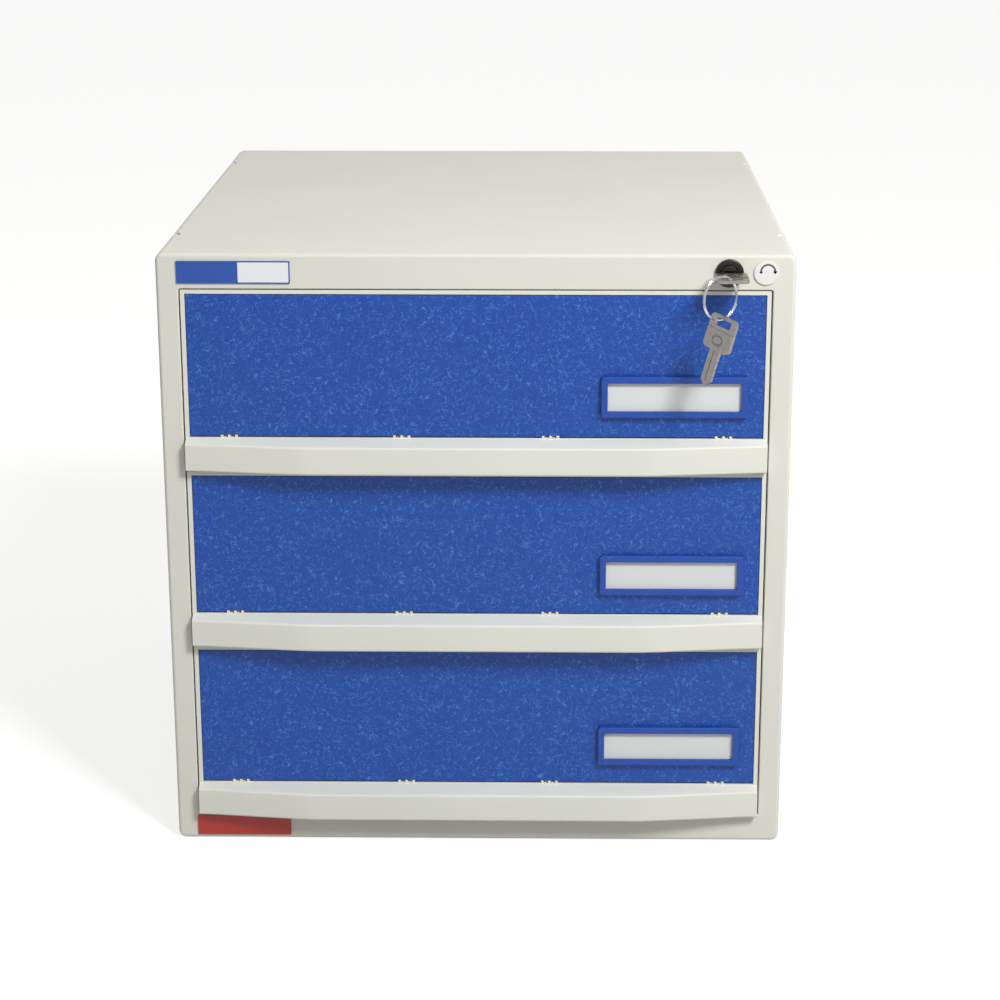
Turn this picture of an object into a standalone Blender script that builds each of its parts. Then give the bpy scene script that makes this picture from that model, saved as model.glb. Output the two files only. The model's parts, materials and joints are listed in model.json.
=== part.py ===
# Lockable drawer box for a desk: a pale case with three drawers behind one opening, a cam lock in the
# top rail that drops a locking bar in front of the drawers, and two keys on a ring.
# X runs to the right, Y to the back and Z up. The origin is the middle of the underside.

import bpy
import bmesh
from math import cos, pi, radians, sin, sqrt
from mathutils import Matrix, Vector

MM = 0.001

# Clearances shared by all pieces
SEAM = 0.3 * MM
RUNNING_GAP = 0.6 * MM
OVERRUN = 5 * MM

# Case
CASE_WIDTH = 400 * MM
CASE_DEPTH = 400 * MM
CASE_HEIGHT = 398 * MM
CASE_WALL = 3 * MM
CASE_CORNER = 5 * MM
FRONT_EDGE_ROUND = 2.4 * MM
FRAME_DEPTH = 12 * MM
RETURN_WALL = 2.1 * MM
COVER_SKIRT = 12 * MM

# Opening for the drawers
DRAWER_COUNT = 3
STILE_WIDTH = 14 * MM
TOP_RAIL_HEIGHT = 22.5 * MM
SILL_HEIGHT = 18.5 * MM

# Link notches in the top's side edges
NOTCH_RADIUS = 5.5 * MM
NOTCH_DEPTH = 1.4 * MM
NOTCH_EDGE_INSET = 1.5 * MM
FRONT_NOTCH_INSET = 62 * MM
BACK_NOTCH_INSET = 60 * MM

# Drawer fronts
FRONT_SIDE_GAP = 1 * MM
FRONT_LEVEL_GAP = 1.5 * MM
FRONT_THICKNESS = 8 * MM
FRONT_RIM = 2.7 * MM
INSERT_LIFT = 21.8 * MM
INSERT_THICKNESS = 3 * MM
INSERT_SINK = 0.5 * MM
SNAP_TAB_WIDTH = 11 * MM
SNAP_TAB_HEIGHT = 1.8 * MM
SNAP_TAB_SHARES = (-0.863, -0.26, 0.26, 0.863)

# Pull lip along the bottom of each front
LIP_HEIGHT = 19 * MM
LIP_MIDDLE_REACH = 14 * MM
LIP_END_REACH = 6 * MM
LIP_TAPER_LENGTH = 80 * MM
LIP_WALL = 2.2 * MM
LIP_ROUND = 1.6 * MM
LIP_BOTTOM_GAP = 0.3 * MM
LEDGE_GAP = 0.6 * MM
FINGER_SINK = 0.8 * MM

# Label holders
HOLDER_WIDTH = 93 * MM
HOLDER_HEIGHT = 27 * MM
HOLDER_REACH = 3.6 * MM
HOLDER_CORNER = 2 * MM
HOLDER_EDGE_ROUND = 1 * MM
HOLDER_FROM_SIDE = 10 * MM
HOLDER_ABOVE_INSERT_EDGE = 14 * MM
WINDOW_BORDER = 4.3 * MM
CARD_THICKNESS = 0.9 * MM
CARD_OVERLAP = 2.2 * MM
CARD_GAP = 0.3 * MM
CARD_TOP_SINK = 1 * MM

# Trays
TRAY_WALL = 2.2 * MM
TRAY_FLOOR = 2.5 * MM
TRAY_SIDE_ROOM = 10 * MM
TRAY_LIFT = 3 * MM
TRAY_HEADROOM = 9 * MM
TRAY_BACK_ROOM = 12 * MM
RAIL_SIDE_GAP = 1.5 * MM
RAIL_THICKNESS = 3 * MM
RAIL_HEIGHT = 40 * MM

# Runners on the side panels
RUNNER_WALL = 3 * MM
RUNNER_PLATE_HALF = 10 * MM
RUNNER_SIDE_GAP = 1 * MM

# Lock
LOCK_FROM_SIDE = 41.7 * MM
LOCK_BELOW_TOP = 11.6 * MM
LOCK_FACE_RADIUS = 9 * MM
LOCK_FACE_THICKNESS = 1.6 * MM
LOCK_FACE_BEVEL = 0.6 * MM
BARREL_RADIUS = 6.6 * MM
BARREL_BORE = 5.4 * MM
BARREL_LENGTH = 17 * MM
NUT_FLATS_HALF = 8 * MM
NUT_THICKNESS = 4 * MM
PLUG_RADIUS = 5.1 * MM
PLUG_PROUD = 0.5 * MM
PLUG_END_WALL = 2 * MM
KEYWAY_HEIGHT = 3 * MM

# Cam and locking bar
CAM_THROW = 7.6 * MM
CAM_THICKNESS = 1.5 * MM
CAM_HALF_WIDTH = 3.4 * MM
CAM_PIN_RADIUS = 1 * MM
CAM_SCREW_HEAD_RADIUS = 2.3 * MM
CAM_SCREW_HEAD_THICKNESS = 1.2 * MM
CAM_SCREW_RADIUS = 1.2 * MM
CAM_SCREW_BITE = 1.4 * MM
PIN_SLOT_GAP = 0.5 * MM
BAR_THICKNESS = 2 * MM
BAR_WIDTH = 6.4 * MM
BAR_FROM_SIDE = 4.6 * MM
BAR_ARM_HALF = 2.7 * MM
BAR_TAIL = 6 * MM
TAB_HEIGHT = 8 * MM
TAB_SIDE_GAP = 3 * MM
CATCH_HEIGHT = 7 * MM
CATCH_THICKNESS = 3 * MM
CATCH_BELOW_TRAY_TOP = 11 * MM
TAB_CATCH_GAP = 1.5 * MM
GUIDE_HEIGHT = 12 * MM
GUIDE_WALL = 2 * MM
GUIDE_LEVEL = 45 * MM

# Keys and ring
KEY_BOW_WIDTH = 21 * MM
KEY_BOW_LENGTH = 22 * MM
KEY_BOW_THICKNESS = 2.6 * MM
KEY_BOW_CORNER = 3 * MM
KEY_SLOT_WIDTH = 12.5 * MM
KEY_SLOT_HEIGHT = 4.6 * MM
KEY_END_STRIP = 2.2 * MM
KEY_SLOT_CORNER = 1.2 * MM
KEY_BAND_LENGTH = 9 * MM
KEY_BAND_SINK = 0.3 * MM
KEY_BLADE_WIDTH = 8 * MM
KEY_BLADE_THICKNESS = 1.9 * MM
KEY_BLADE_LENGTH = 22.4 * MM
KEY_BLADE_TIP = 3 * MM
KEY_SHOULDER_GAP = 2.6 * MM
BITTING_DEPTH = 0.6 * MM
BITTING_SHARES = (0.3, 0.52, 0.74)
RING_RADIUS = 13.4 * MM
RING_WIRE = 0.8 * MM
RING_DROP = 9.6 * MM
RING_YAW = radians(38)
SPARE_TILT = radians(16)
SPARE_YAW = radians(45)
SPARE_SLOT_OFFSET = 4 * MM

# Plates and disc on the front
DISC_RADIUS = 7.7 * MM
DISC_THICKNESS = 0.8 * MM
DISC_FROM_SIDE = 18.8 * MM
DISC_BELOW_TOP = 11.2 * MM
NAME_PLATE_WIDTH = 71 * MM
NAME_PLATE_HEIGHT = 14.3 * MM
NAME_PLATE_FROM_SIDE = 13.3 * MM
NAME_PLATE_BELOW_TOP = 4.6 * MM
LOWER_PLATE_WIDTH = 62 * MM
LOWER_PLATE_HEIGHT = 14 * MM
LOWER_PLATE_LIFT = 3 * MM
PLATE_THICKNESS = 0.6 * MM

# Screws in the back
SCREW_HEAD_RADIUS = 3.4 * MM
SCREW_HEAD_THICKNESS = 1.2 * MM
SCREW_RADIUS = 1.5 * MM
SCREW_LENGTH = 12 * MM
BOSS_WIDTH = 9 * MM
BOSS_HEIGHT = 12 * MM
BOSS_LENGTH = 11.5 * MM
BOSS_LEVEL_SHARES = (0.09, 0.5, 0.91)

# Places that follow from the sizes above
HALF_WIDTH = CASE_WIDTH / 2
FACE_Y = -CASE_DEPTH / 2
BACK_Y = CASE_DEPTH / 2
FRAME_BACK_Y = FACE_Y + FRAME_DEPTH
SIDE_INNER_X = HALF_WIDTH - CASE_WALL
PANEL_BACK_Y = BACK_Y - CASE_WALL - SEAM
BOSS_FRONT_Y = PANEL_BACK_Y - BOSS_LENGTH
SCREW_X = SIDE_INNER_X - BOSS_WIDTH / 2
OPENING_HALF = HALF_WIDTH - STILE_WIDTH
OPENING_TOP = CASE_HEIGHT - TOP_RAIL_HEIGHT
LEVEL_PITCH = (OPENING_TOP - SILL_HEIGHT) / DRAWER_COUNT
FRONT_HALF = OPENING_HALF - FRONT_SIDE_GAP
FRONT_HEIGHT = LEVEL_PITCH - FRONT_LEVEL_GAP
LIP_STRAIGHT_HALF = FRONT_HALF - LIP_TAPER_LENGTH
INSERT_HALF = FRONT_HALF - FRONT_RIM - SEAM
INSERT_HEIGHT = FRONT_HEIGHT - FRONT_RIM - INSERT_LIFT
FRONT_BACK_Y = FACE_Y + FRONT_THICKNESS
INSERT_FACE_Y = FACE_Y + INSERT_SINK
INSERT_BACK_Y = INSERT_FACE_Y + INSERT_THICKNESS
LOCK_X = HALF_WIDTH - LOCK_FROM_SIDE
LOCK_Z = CASE_HEIGHT - LOCK_BELOW_TOP
LOCK_FACE_Y = FACE_Y - SEAM - LOCK_FACE_THICKNESS
PLUG_FACE_Y = LOCK_FACE_Y - PLUG_PROUD
KEYWAY_END_Y = PLUG_FACE_Y + KEY_BLADE_LENGTH - KEY_SHOULDER_GAP + 2 * SEAM
PLUG_BACK_Y = KEYWAY_END_Y + PLUG_END_WALL
CAM_FRONT_Y = PLUG_BACK_Y + SEAM
CAM_BACK_Y = CAM_FRONT_Y + CAM_THICKNESS
BAR_FRONT_Y = CAM_BACK_Y + SEAM
BAR_BACK_Y = BAR_FRONT_Y + BAR_THICKNESS
BAR_OUTER_X = HALF_WIDTH - BAR_FROM_SIDE
BAR_INNER_X = BAR_OUTER_X - BAR_WIDTH
CATCH_FRONT_Y = BAR_BACK_Y + RUNNING_GAP
CATCH_BACK_Y = CATCH_FRONT_Y + CATCH_THICKNESS
RUNNER_FRONT_Y = CATCH_BACK_Y + CATCH_THICKNESS
TRAY_HALF_WIDTH = OPENING_HALF - TRAY_SIDE_ROOM
TRAY_HEIGHT = LEVEL_PITCH - TRAY_LIFT - TRAY_HEADROOM
RAIL_TIP_X = OPENING_HALF - RAIL_SIDE_GAP
CATCH_LIFT = TRAY_LIFT + TRAY_HEIGHT - CATCH_BELOW_TRAY_TOP - CATCH_HEIGHT
TRAY_FRONT_Y = FRONT_BACK_Y + SEAM
TRAY_BACK_Y = BACK_Y - CASE_WALL - TRAY_BACK_ROOM
KEYWAY_WIDTH = KEY_BLADE_WIDTH + 2 * SEAM
BOW_START_Y = PLUG_FACE_Y - KEY_SHOULDER_GAP
BOW_END_Y = BOW_START_Y - KEY_BOW_LENGTH
SLOT_MIDDLE_Y = BOW_END_Y + KEY_END_STRIP + KEY_SLOT_HEIGHT / 2
KEY_LENGTH = KEY_BOW_LENGTH + KEY_BLADE_LENGTH

# The drawers' levels, the top one first
LEVELS = range(DRAWER_COUNT)

for old in list(bpy.data.objects):
    bpy.data.objects.remove(old, do_unlink=True)


def finish(name, red, green, blue, roughness, metallic):
    material = bpy.data.materials.new(name)
    material.use_nodes = True
    shader = material.node_tree.nodes["Principled BSDF"]
    shader.inputs["Base Color"].default_value = (red, green, blue, 1)
    shader.inputs["Roughness"].default_value = roughness
    shader.inputs["Metallic"].default_value = metallic
    return material


PALE_PLASTIC = finish("pale_plastic", 0.76, 0.75, 0.69, 0.45, 0)
PALE_TRAY = finish("tray_plastic", 0.72, 0.72, 0.67, 0.5, 0)
BLUE_PLASTIC = finish("blue_plastic", 0.031, 0.103, 0.456, 0.35, 0)
CARD_PAPER = finish("card_paper", 0.70, 0.72, 0.69, 0.8, 0)
WHITE_PLASTIC = finish("white_plastic", 0.9, 0.9, 0.86, 0.4, 0)
RED_VINYL = finish("red_vinyl", 0.45, 0.03, 0.02, 0.35, 0)
RUNNER_PLASTIC = finish("runner_plastic", 0.6, 0.6, 0.57, 0.5, 0)
LOCK_METAL = finish("lock_metal", 0.045, 0.042, 0.038, 0.4, 1)
STEEL = finish("plated_steel", 0.55, 0.55, 0.54, 0.35, 1)
KEY_METAL = finish("key_metal", 0.4, 0.37, 0.38, 0.3, 1)
CHROME = finish("ring_chrome", 0.8, 0.8, 0.82, 0.1, 1)


# Solid shapes, each added to a mesh being built

def add_block(mesh, low, high):
    corners = ((x, y, z) for x in (low[0], high[0]) for y in (low[1], high[1]) for z in (low[2], high[2]))
    points = [mesh.verts.new(corner) for corner in corners]
    for face in ((0, 1, 3, 2), (4, 6, 7, 5), (0, 4, 5, 1), (2, 3, 7, 6), (0, 2, 6, 4), (1, 5, 7, 3)):
        mesh.faces.new([points[index] for index in face])


# An outline of (across, up) pairs, run along one axis: "Y" takes it as X and Z, and "Z" as X and Y
def add_prism(mesh, outline, axis, start, stop):
    def point(pair, along):
        return (pair[0], along, pair[1]) if axis == "Y" else (pair[0], pair[1], along)

    first = [mesh.verts.new(point(pair, start)) for pair in outline]
    last = [mesh.verts.new(point(pair, stop)) for pair in outline]
    mesh.faces.new(first)
    mesh.faces.new(last)
    for index in range(len(outline)):
        after = (index + 1) % len(outline)
        mesh.faces.new((first[index], first[after], last[after], last[index]))


# A profile of (radius, along) pairs turned round a line parallel to Y; open profiles end on the line
def add_turned(mesh, centre, profile, sides, closed=False):
    rings = []
    for radius, along in profile:
        if radius == 0:
            rings.append([mesh.verts.new((centre[0], along, centre[1]))])
            continue
        rings.append([mesh.verts.new((across, along, up)) for across, up in circle(centre, radius, sides)])
    pairs = list(zip(rings, rings[1:]))
    if closed:
        pairs.append((rings[-1], rings[0]))
    for one, other in pairs:
        for step in range(sides):
            after = (step + 1) % sides
            corners = [one[step % len(one)], one[after % len(one)]]
            corners += [other[after % len(other)], other[step % len(other)]]
            mesh.faces.new(list(dict.fromkeys(corners)))


# Closed cross-sections with equal counts of points, joined in order and capped at both ends
def add_loft(mesh, sections):
    rows = [[mesh.verts.new(point) for point in section] for section in sections]
    mesh.faces.new(rows[0])
    mesh.faces.new(rows[-1])
    for one, other in zip(rows, rows[1:]):
        for index in range(len(one)):
            after = (index + 1) % len(one)
            mesh.faces.new((one[index], one[after], other[after], other[index]))


# Two closed outlines with equal counts of points, with the room between them filled
def add_ring_prism(mesh, outer, inner, start, stop):
    loops = [
        [mesh.verts.new((across, along, up)) for across, up in outline]
        for outline in (outer, inner)
        for along in (start, stop)
    ]
    outer_first, outer_last, inner_first, inner_last = loops
    for one, other in (
        (outer_first, outer_last),
        (outer_last, inner_last),
        (inner_last, inner_first),
        (inner_first, outer_first),
    ):
        for index in range(len(one)):
            after = (index + 1) % len(one)
            mesh.faces.new((one[index], one[after], other[after], other[index]))


def arc(middle, radius, start, stop, steps):
    turn = [start + (stop - start) * step / steps for step in range(steps + 1)]
    return [(middle[0] + radius * cos(angle), middle[1] + radius * sin(angle)) for angle in turn]


def rectangle(low_x, high_x, low_z, high_z):
    return [(high_x, high_z), (low_x, high_z), (low_x, low_z), (high_x, low_z)]


def round_rectangle(low_x, high_x, low_z, high_z, radius, steps=4):
    outline = arc((high_x - radius, high_z - radius), radius, 0, pi / 2, steps)
    outline += arc((low_x + radius, high_z - radius), radius, pi / 2, pi, steps)
    outline += arc((low_x + radius, low_z + radius), radius, pi, 3 * pi / 2, steps)
    outline += arc((high_x - radius, low_z + radius), radius, 3 * pi / 2, 2 * pi, steps)
    return outline


def circle(middle, radius, sides):
    return arc(middle, radius, 0, 2 * pi * (sides - 1) / sides, sides - 1)


# Pivots are empties on the joints' axes, and the pieces that move hang under them
PIVOT_PLACES = {}


def pivot(name, place, carrier=None):
    empty = bpy.data.objects.new(name, None)
    bpy.context.scene.collection.objects.link(empty)
    PIVOT_PLACES[name] = Vector(place)
    empty.parent = carrier
    empty.location = Vector(place) - (PIVOT_PLACES[carrier.name] if carrier else Vector())
    empty.empty_display_size = CASE_WALL
    return empty


def mesh_object(name, mesh, material, carrier, turn=None):
    bmesh.ops.recalc_face_normals(mesh, faces=mesh.faces)
    if turn:
        bmesh.ops.transform(mesh, matrix=turn, verts=mesh.verts)
    data = bpy.data.meshes.new(name)
    mesh.to_mesh(data)
    mesh.free()
    if carrier:
        data.transform(Matrix.Translation(-PIVOT_PLACES[carrier.name]))
    made = bpy.data.objects.new(name, data)
    bpy.context.scene.collection.objects.link(made)
    made.parent = carrier
    if material:
        data.materials.append(material)
        data.shade_smooth()
        data.set_sharp_from_angle(angle=radians(35))
    else:
        made.hide_render = True
        made.display_type = "WIRE"
    return made


# One sub-part: a shape, with shapes joined to it and then shapes cut from it, one after the other
def sub_part(name, material, shape, joined=(), cuts=(), carrier=None, turn=None):
    made = mesh_object(name, shape, material, carrier, turn)
    steps = [(extra, "UNION") for extra in joined] + [(extra, "DIFFERENCE") for extra in cuts]
    for number, (extra, operation) in enumerate(steps, 1):
        tool = mesh_object(f"{name}_tool_{number}", extra, None, carrier, turn)
        modifier = made.modifiers.new(tool.name, "BOOLEAN")
        modifier.operation = operation
        modifier.object = tool


def level_floor(level):
    return OPENING_TOP - LEVEL_PITCH * (level + 1)


def front_bottom(level):
    return level_floor(level) + FRONT_LEVEL_GAP / 2


# Case

# The front moulding: a face plate with one opening, turned back round its outside and round the opening
def make_front_frame():
    shape = bmesh.new()
    outline = round_rectangle(-HALF_WIDTH, HALF_WIDTH, 0, CASE_HEIGHT, CASE_CORNER)
    add_prism(shape, outline, "Y", FACE_Y, FRAME_BACK_Y)
    front_edges = [e for e in shape.edges if all(abs(v.co.y - FACE_Y) < SEAM for v in e.verts)]
    bmesh.ops.bevel(
        shape, geom=front_edges, offset=FRONT_EDGE_ROUND, segments=3, profile=0.5, affect="EDGES", material=-1
    )
    cut = bmesh.new()
    opening = (-OPENING_HALF, OPENING_HALF, SILL_HEIGHT, OPENING_TOP)
    add_prism(cut, rectangle(*opening), "Y", FACE_Y - OVERRUN, FRAME_BACK_Y + OVERRUN)
    pocket = rectangle(-SIDE_INNER_X, SIDE_INNER_X, CASE_WALL, CASE_HEIGHT - CASE_WALL)
    lining = (
        -OPENING_HALF - RETURN_WALL,
        OPENING_HALF + RETURN_WALL,
        SILL_HEIGHT - RETURN_WALL,
        OPENING_TOP + RETURN_WALL,
    )
    add_ring_prism(cut, pocket, rectangle(*lining), FACE_Y + CASE_WALL, FRAME_BACK_Y + OVERRUN)
    hole = bmesh.new()
    lock_hole = circle((LOCK_X, LOCK_Z), BARREL_RADIUS + SEAM, 32)
    add_prism(hole, lock_hole, "Y", FACE_Y - OVERRUN, FACE_Y + CASE_WALL + SEAM)
    sub_part("front_frame", PALE_PLASTIC, shape, cuts=(cut, hole))


# A sheet with both long edges turned over. Its outer face lies at outer_z, and side is 1 where that faces up
def channel_outline(outer_z, side):
    middle = HALF_WIDTH - CASE_CORNER
    inner_radius = max(CASE_CORNER - CASE_WALL, SEAM)
    inner_middle = SIDE_INNER_X - inner_radius
    outside = [(HALF_WIDTH, COVER_SKIRT)]
    outside += [(across, CASE_CORNER - up) for across, up in arc((middle, 0), CASE_CORNER, 0, pi / 2, 4)]
    inner_arc = arc((inner_middle, 0), inner_radius, 0, pi / 2, 4)
    inside = [(SIDE_INNER_X, COVER_SKIRT)]
    inside += [(across, CASE_WALL + inner_radius - up) for across, up in inner_arc]
    right = [(across, outer_z - side * depth) for across, depth in outside]
    right_inside = [(across, outer_z - side * depth) for across, depth in inside]
    left = [(-across, height) for across, height in reversed(right)]
    left_inside = [(-across, height) for across, height in reversed(right_inside)]
    return right + left + left_inside[::-1] + right_inside[::-1]


def make_top_cover():
    shape = bmesh.new()
    add_prism(shape, channel_outline(CASE_HEIGHT, 1), "Y", FRAME_BACK_Y + SEAM, PANEL_BACK_Y)
    cut = bmesh.new()
    for side in (-1, 1):
        for along in (FACE_Y + FRONT_NOTCH_INSET, BACK_Y - BACK_NOTCH_INSET):
            notch = circle((side * (HALF_WIDTH - NOTCH_EDGE_INSET), along), NOTCH_RADIUS, 24)
            add_prism(cut, notch, "Z", CASE_HEIGHT - NOTCH_DEPTH, CASE_HEIGHT + OVERRUN)
    sub_part("top_cover", PALE_PLASTIC, shape, cuts=(cut,))


def make_base_panel():
    shape = bmesh.new()
    add_prism(shape, channel_outline(0, -1), "Y", FRAME_BACK_Y + SEAM, PANEL_BACK_Y)
    sub_part("base_panel", PALE_PLASTIC, shape)


def boss_places():
    low = COVER_SKIRT + BOSS_HEIGHT
    high = CASE_HEIGHT - COVER_SKIRT - BOSS_HEIGHT
    return [low + (high - low) * share for share in BOSS_LEVEL_SHARES]


def make_side_panel(name, side):
    shape = bmesh.new()
    near, far = sorted((side * SIDE_INNER_X, side * HALF_WIDTH))
    low = COVER_SKIRT + SEAM
    high = CASE_HEIGHT - COVER_SKIRT - SEAM
    add_block(shape, (near, FRAME_BACK_Y + SEAM, low), (far, PANEL_BACK_Y, high))
    bosses = bmesh.new()
    holes = bmesh.new()
    for level in boss_places():
        inner, outer = sorted((side * (SIDE_INNER_X - BOSS_WIDTH), side * (HALF_WIDTH - CASE_WALL / 2)))
        half = BOSS_HEIGHT / 2
        add_block(bosses, (inner, BOSS_FRONT_Y, level - half), (outer, PANEL_BACK_Y, level + half))
        hole = circle((side * SCREW_X, level), SCREW_RADIUS + SEAM, 16)
        add_prism(holes, hole, "Y", BOSS_FRONT_Y - OVERRUN, PANEL_BACK_Y + OVERRUN)
    sub_part(name, PALE_PLASTIC, shape, (bosses,), (holes,))


def make_back_panel():
    shape = bmesh.new()
    outline = round_rectangle(-HALF_WIDTH, HALF_WIDTH, 0, CASE_HEIGHT, CASE_CORNER)
    add_prism(shape, outline, "Y", BACK_Y - CASE_WALL, BACK_Y)
    front = BACK_Y - CASE_WALL - OVERRUN
    shoulder = BACK_Y - SCREW_HEAD_THICKNESS - 2 * SEAM
    stepped = (
        (0, front),
        (SCREW_RADIUS + SEAM, front),
        (SCREW_RADIUS + SEAM, shoulder),
        (SCREW_HEAD_RADIUS + SEAM, shoulder),
        (SCREW_HEAD_RADIUS + SEAM, BACK_Y + OVERRUN),
        (0, BACK_Y + OVERRUN),
    )
    holes = bmesh.new()
    for side in (-1, 1):
        for level in boss_places():
            add_turned(holes, (side * SCREW_X, level), stepped, 16)
    sub_part("back_panel", PALE_PLASTIC, shape, cuts=(holes,))


def make_back_screws():
    head_back = BACK_Y - SEAM
    head_front = head_back - SCREW_HEAD_THICKNESS
    tip = head_front - SCREW_LENGTH
    profile = (
        (0, tip),
        (SCREW_RADIUS, tip),
        (SCREW_RADIUS, head_front),
        (SCREW_HEAD_RADIUS, head_front),
        (SCREW_HEAD_RADIUS, head_back),
        (0, head_back),
    )
    for side, word in ((-1, "left"), (1, "right")):
        for number, level in enumerate(boss_places(), 1):
            shape = bmesh.new()
            add_turned(shape, (side * SCREW_X, level), profile, 16)
            sub_part(f"back_screw_{word}_{number}", STEEL, shape)


# Runners: a channel on each side panel that carries a drawer's rail
def make_runner(level, side, word):
    rail_z = level_floor(level) + RAIL_HEIGHT
    plate_out = SIDE_INNER_X - SEAM
    plate_in = plate_out - RUNNER_WALL
    tip = TRAY_HALF_WIDTH + RUNNER_SIDE_GAP
    slot = RAIL_THICKNESS / 2 + RUNNING_GAP
    arm = slot + RUNNER_WALL
    upper = [
        (plate_out, RUNNER_PLATE_HALF),
        (plate_in, RUNNER_PLATE_HALF),
        (plate_in, arm),
        (tip, arm),
        (tip, slot),
        (plate_in, slot),
    ]
    outline = [(side * across, rail_z + up) for across, up in upper]
    outline += [(side * across, rail_z - up) for across, up in reversed(upper)]
    shape = bmesh.new()
    add_prism(shape, outline, "Y", RUNNER_FRONT_Y, BOSS_FRONT_Y - RUNNING_GAP)
    sub_part(f"runner_{level + 1}_{word}", RUNNER_PLASTIC, shape)


# Drawers

# How far the pull lip stands out at a place across the front. Both ends are drawn back
def lip_reach(across):
    outside = max(abs(across) - LIP_STRAIGHT_HALF, 0) / (FRONT_HALF - LIP_STRAIGHT_HALF)
    eased = (outside + outside * outside * (3 - 2 * outside)) / 2
    return LIP_MIDDLE_REACH - (LIP_MIDDLE_REACH - LIP_END_REACH) * eased


def lip_stations(end):
    taper = [LIP_STRAIGHT_HALF + (end - LIP_STRAIGHT_HALF) * step / 6 for step in range(7)]
    return [-across for across in reversed(taper)] + taper


def insert_bottom(level):
    return front_bottom(level) + INSERT_LIFT


# The blue insert's outline, with a notch at each snap tab. Spread moves it out to the recess that holds it
def insert_outline(level, spread):
    low = insert_bottom(level)
    half = INSERT_HALF + spread
    high = low + INSERT_HEIGHT + spread
    outline = [(half, high), (-half, high), (-half, low - spread)]
    for share in SNAP_TAB_SHARES:
        middle = share * INSERT_HALF
        notch_half = SNAP_TAB_WIDTH / 2 + SEAM - spread
        notch_top = low + SNAP_TAB_HEIGHT + SEAM - spread
        outline += [(middle - notch_half, low - spread), (middle - notch_half, notch_top)]
        outline += [(middle + notch_half, notch_top), (middle + notch_half, low - spread)]
    return outline + [(half, low - spread)]


def make_drawer_front(level, slide):
    bottom = front_bottom(level)
    shape = bmesh.new()
    add_block(shape, (-FRONT_HALF, FACE_Y, bottom), (FRONT_HALF, FRONT_BACK_Y, bottom + FRONT_HEIGHT))
    root_y = FACE_Y + FRONT_THICKNESS / 2
    ledge = insert_bottom(level) - LEDGE_GAP
    lip_top = bottom + LIP_HEIGHT
    lip_bottom = bottom + LIP_BOTTOM_GAP
    lip = bmesh.new()
    sections = []
    for across in lip_stations(FRONT_HALF - SEAM):
        reach_y = FACE_Y - lip_reach(across)
        middle_y = reach_y + LIP_ROUND
        side_view = [(root_y, ledge), (FACE_Y, ledge)]
        side_view += arc((middle_y, lip_top - LIP_ROUND), LIP_ROUND, pi / 2, pi, 3)
        side_view += arc((middle_y, lip_bottom + LIP_ROUND), LIP_ROUND, pi, 3 * pi / 2, 3)
        side_view.append((root_y, lip_bottom))
        sections.append([(across, along, up) for along, up in side_view])
    add_loft(lip, sections)
    cut = bmesh.new()
    add_prism(cut, insert_outline(level, SEAM), "Y", FACE_Y - OVERRUN, INSERT_BACK_Y + SEAM)
    hollow = []
    for across in lip_stations(FRONT_HALF - SEAM - LIP_WALL):
        wall_y = FACE_Y - lip_reach(across) + LIP_WALL
        side_view = rectangle(wall_y, FACE_Y + FINGER_SINK, bottom - OVERRUN, lip_top - LIP_WALL)
        hollow.append([(across, along, up) for along, up in side_view])
    add_loft(cut, hollow)
    sub_part(f"drawer_{level + 1}_front", PALE_PLASTIC, shape, (lip,), (cut,), slide)


def make_insert(level, slide):
    shape = bmesh.new()
    add_prism(shape, insert_outline(level, 0), "Y", INSERT_FACE_Y, INSERT_BACK_Y)
    sub_part(f"drawer_{level + 1}_insert", BLUE_PLASTIC, shape, carrier=slide)


# The label holder stands on the insert. A card slides down behind its window from above
def make_label_holder(level, slide):
    right = INSERT_HALF - HOLDER_FROM_SIDE
    left = right - HOLDER_WIDTH
    low = insert_bottom(level) + HOLDER_ABOVE_INSERT_EDGE
    high = low + HOLDER_HEIGHT
    back_y = INSERT_FACE_Y - SEAM
    front_y = INSERT_FACE_Y - HOLDER_REACH
    window = (left + WINDOW_BORDER, right - WINDOW_BORDER, low + WINDOW_BORDER, high - WINDOW_BORDER)
    card_left = window[0] - CARD_OVERLAP
    card_right = window[1] + CARD_OVERLAP
    card_low = window[2] - CARD_OVERLAP
    card_back_y = INSERT_FACE_Y - CARD_GAP
    card_front_y = card_back_y - CARD_THICKNESS
    shape = bmesh.new()
    add_prism(shape, round_rectangle(left, right, low, high, HOLDER_CORNER, 3), "Y", front_y, back_y)
    rim = [e for e in shape.edges if all(abs(v.co.y - front_y) < SEAM for v in e.verts)]
    bmesh.ops.bevel(
        shape, geom=rim, offset=HOLDER_EDGE_ROUND, segments=2, profile=0.5, affect="EDGES", material=-1
    )
    cut = bmesh.new()
    add_prism(cut, rectangle(*window), "Y", front_y - OVERRUN, back_y + OVERRUN)
    pocket = bmesh.new()
    add_block(
        pocket,
        (card_left - CARD_GAP, card_front_y - CARD_GAP, card_low - CARD_GAP),
        (card_right + CARD_GAP, back_y + OVERRUN, high + OVERRUN),
    )
    sub_part(f"drawer_{level + 1}_label_holder", BLUE_PLASTIC, shape, cuts=(cut, pocket), carrier=slide)
    card_middle = (card_left + card_right) / 2
    card_slide = pivot(f"card_{level + 1}_slide", (card_middle, card_back_y, card_low), slide)
    card = bmesh.new()
    add_block(card, (card_left, card_front_y, card_low), (card_right, card_back_y, high - CARD_TOP_SINK))
    sub_part(f"drawer_{level + 1}_label_card", CARD_PAPER, card, carrier=card_slide)


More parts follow.
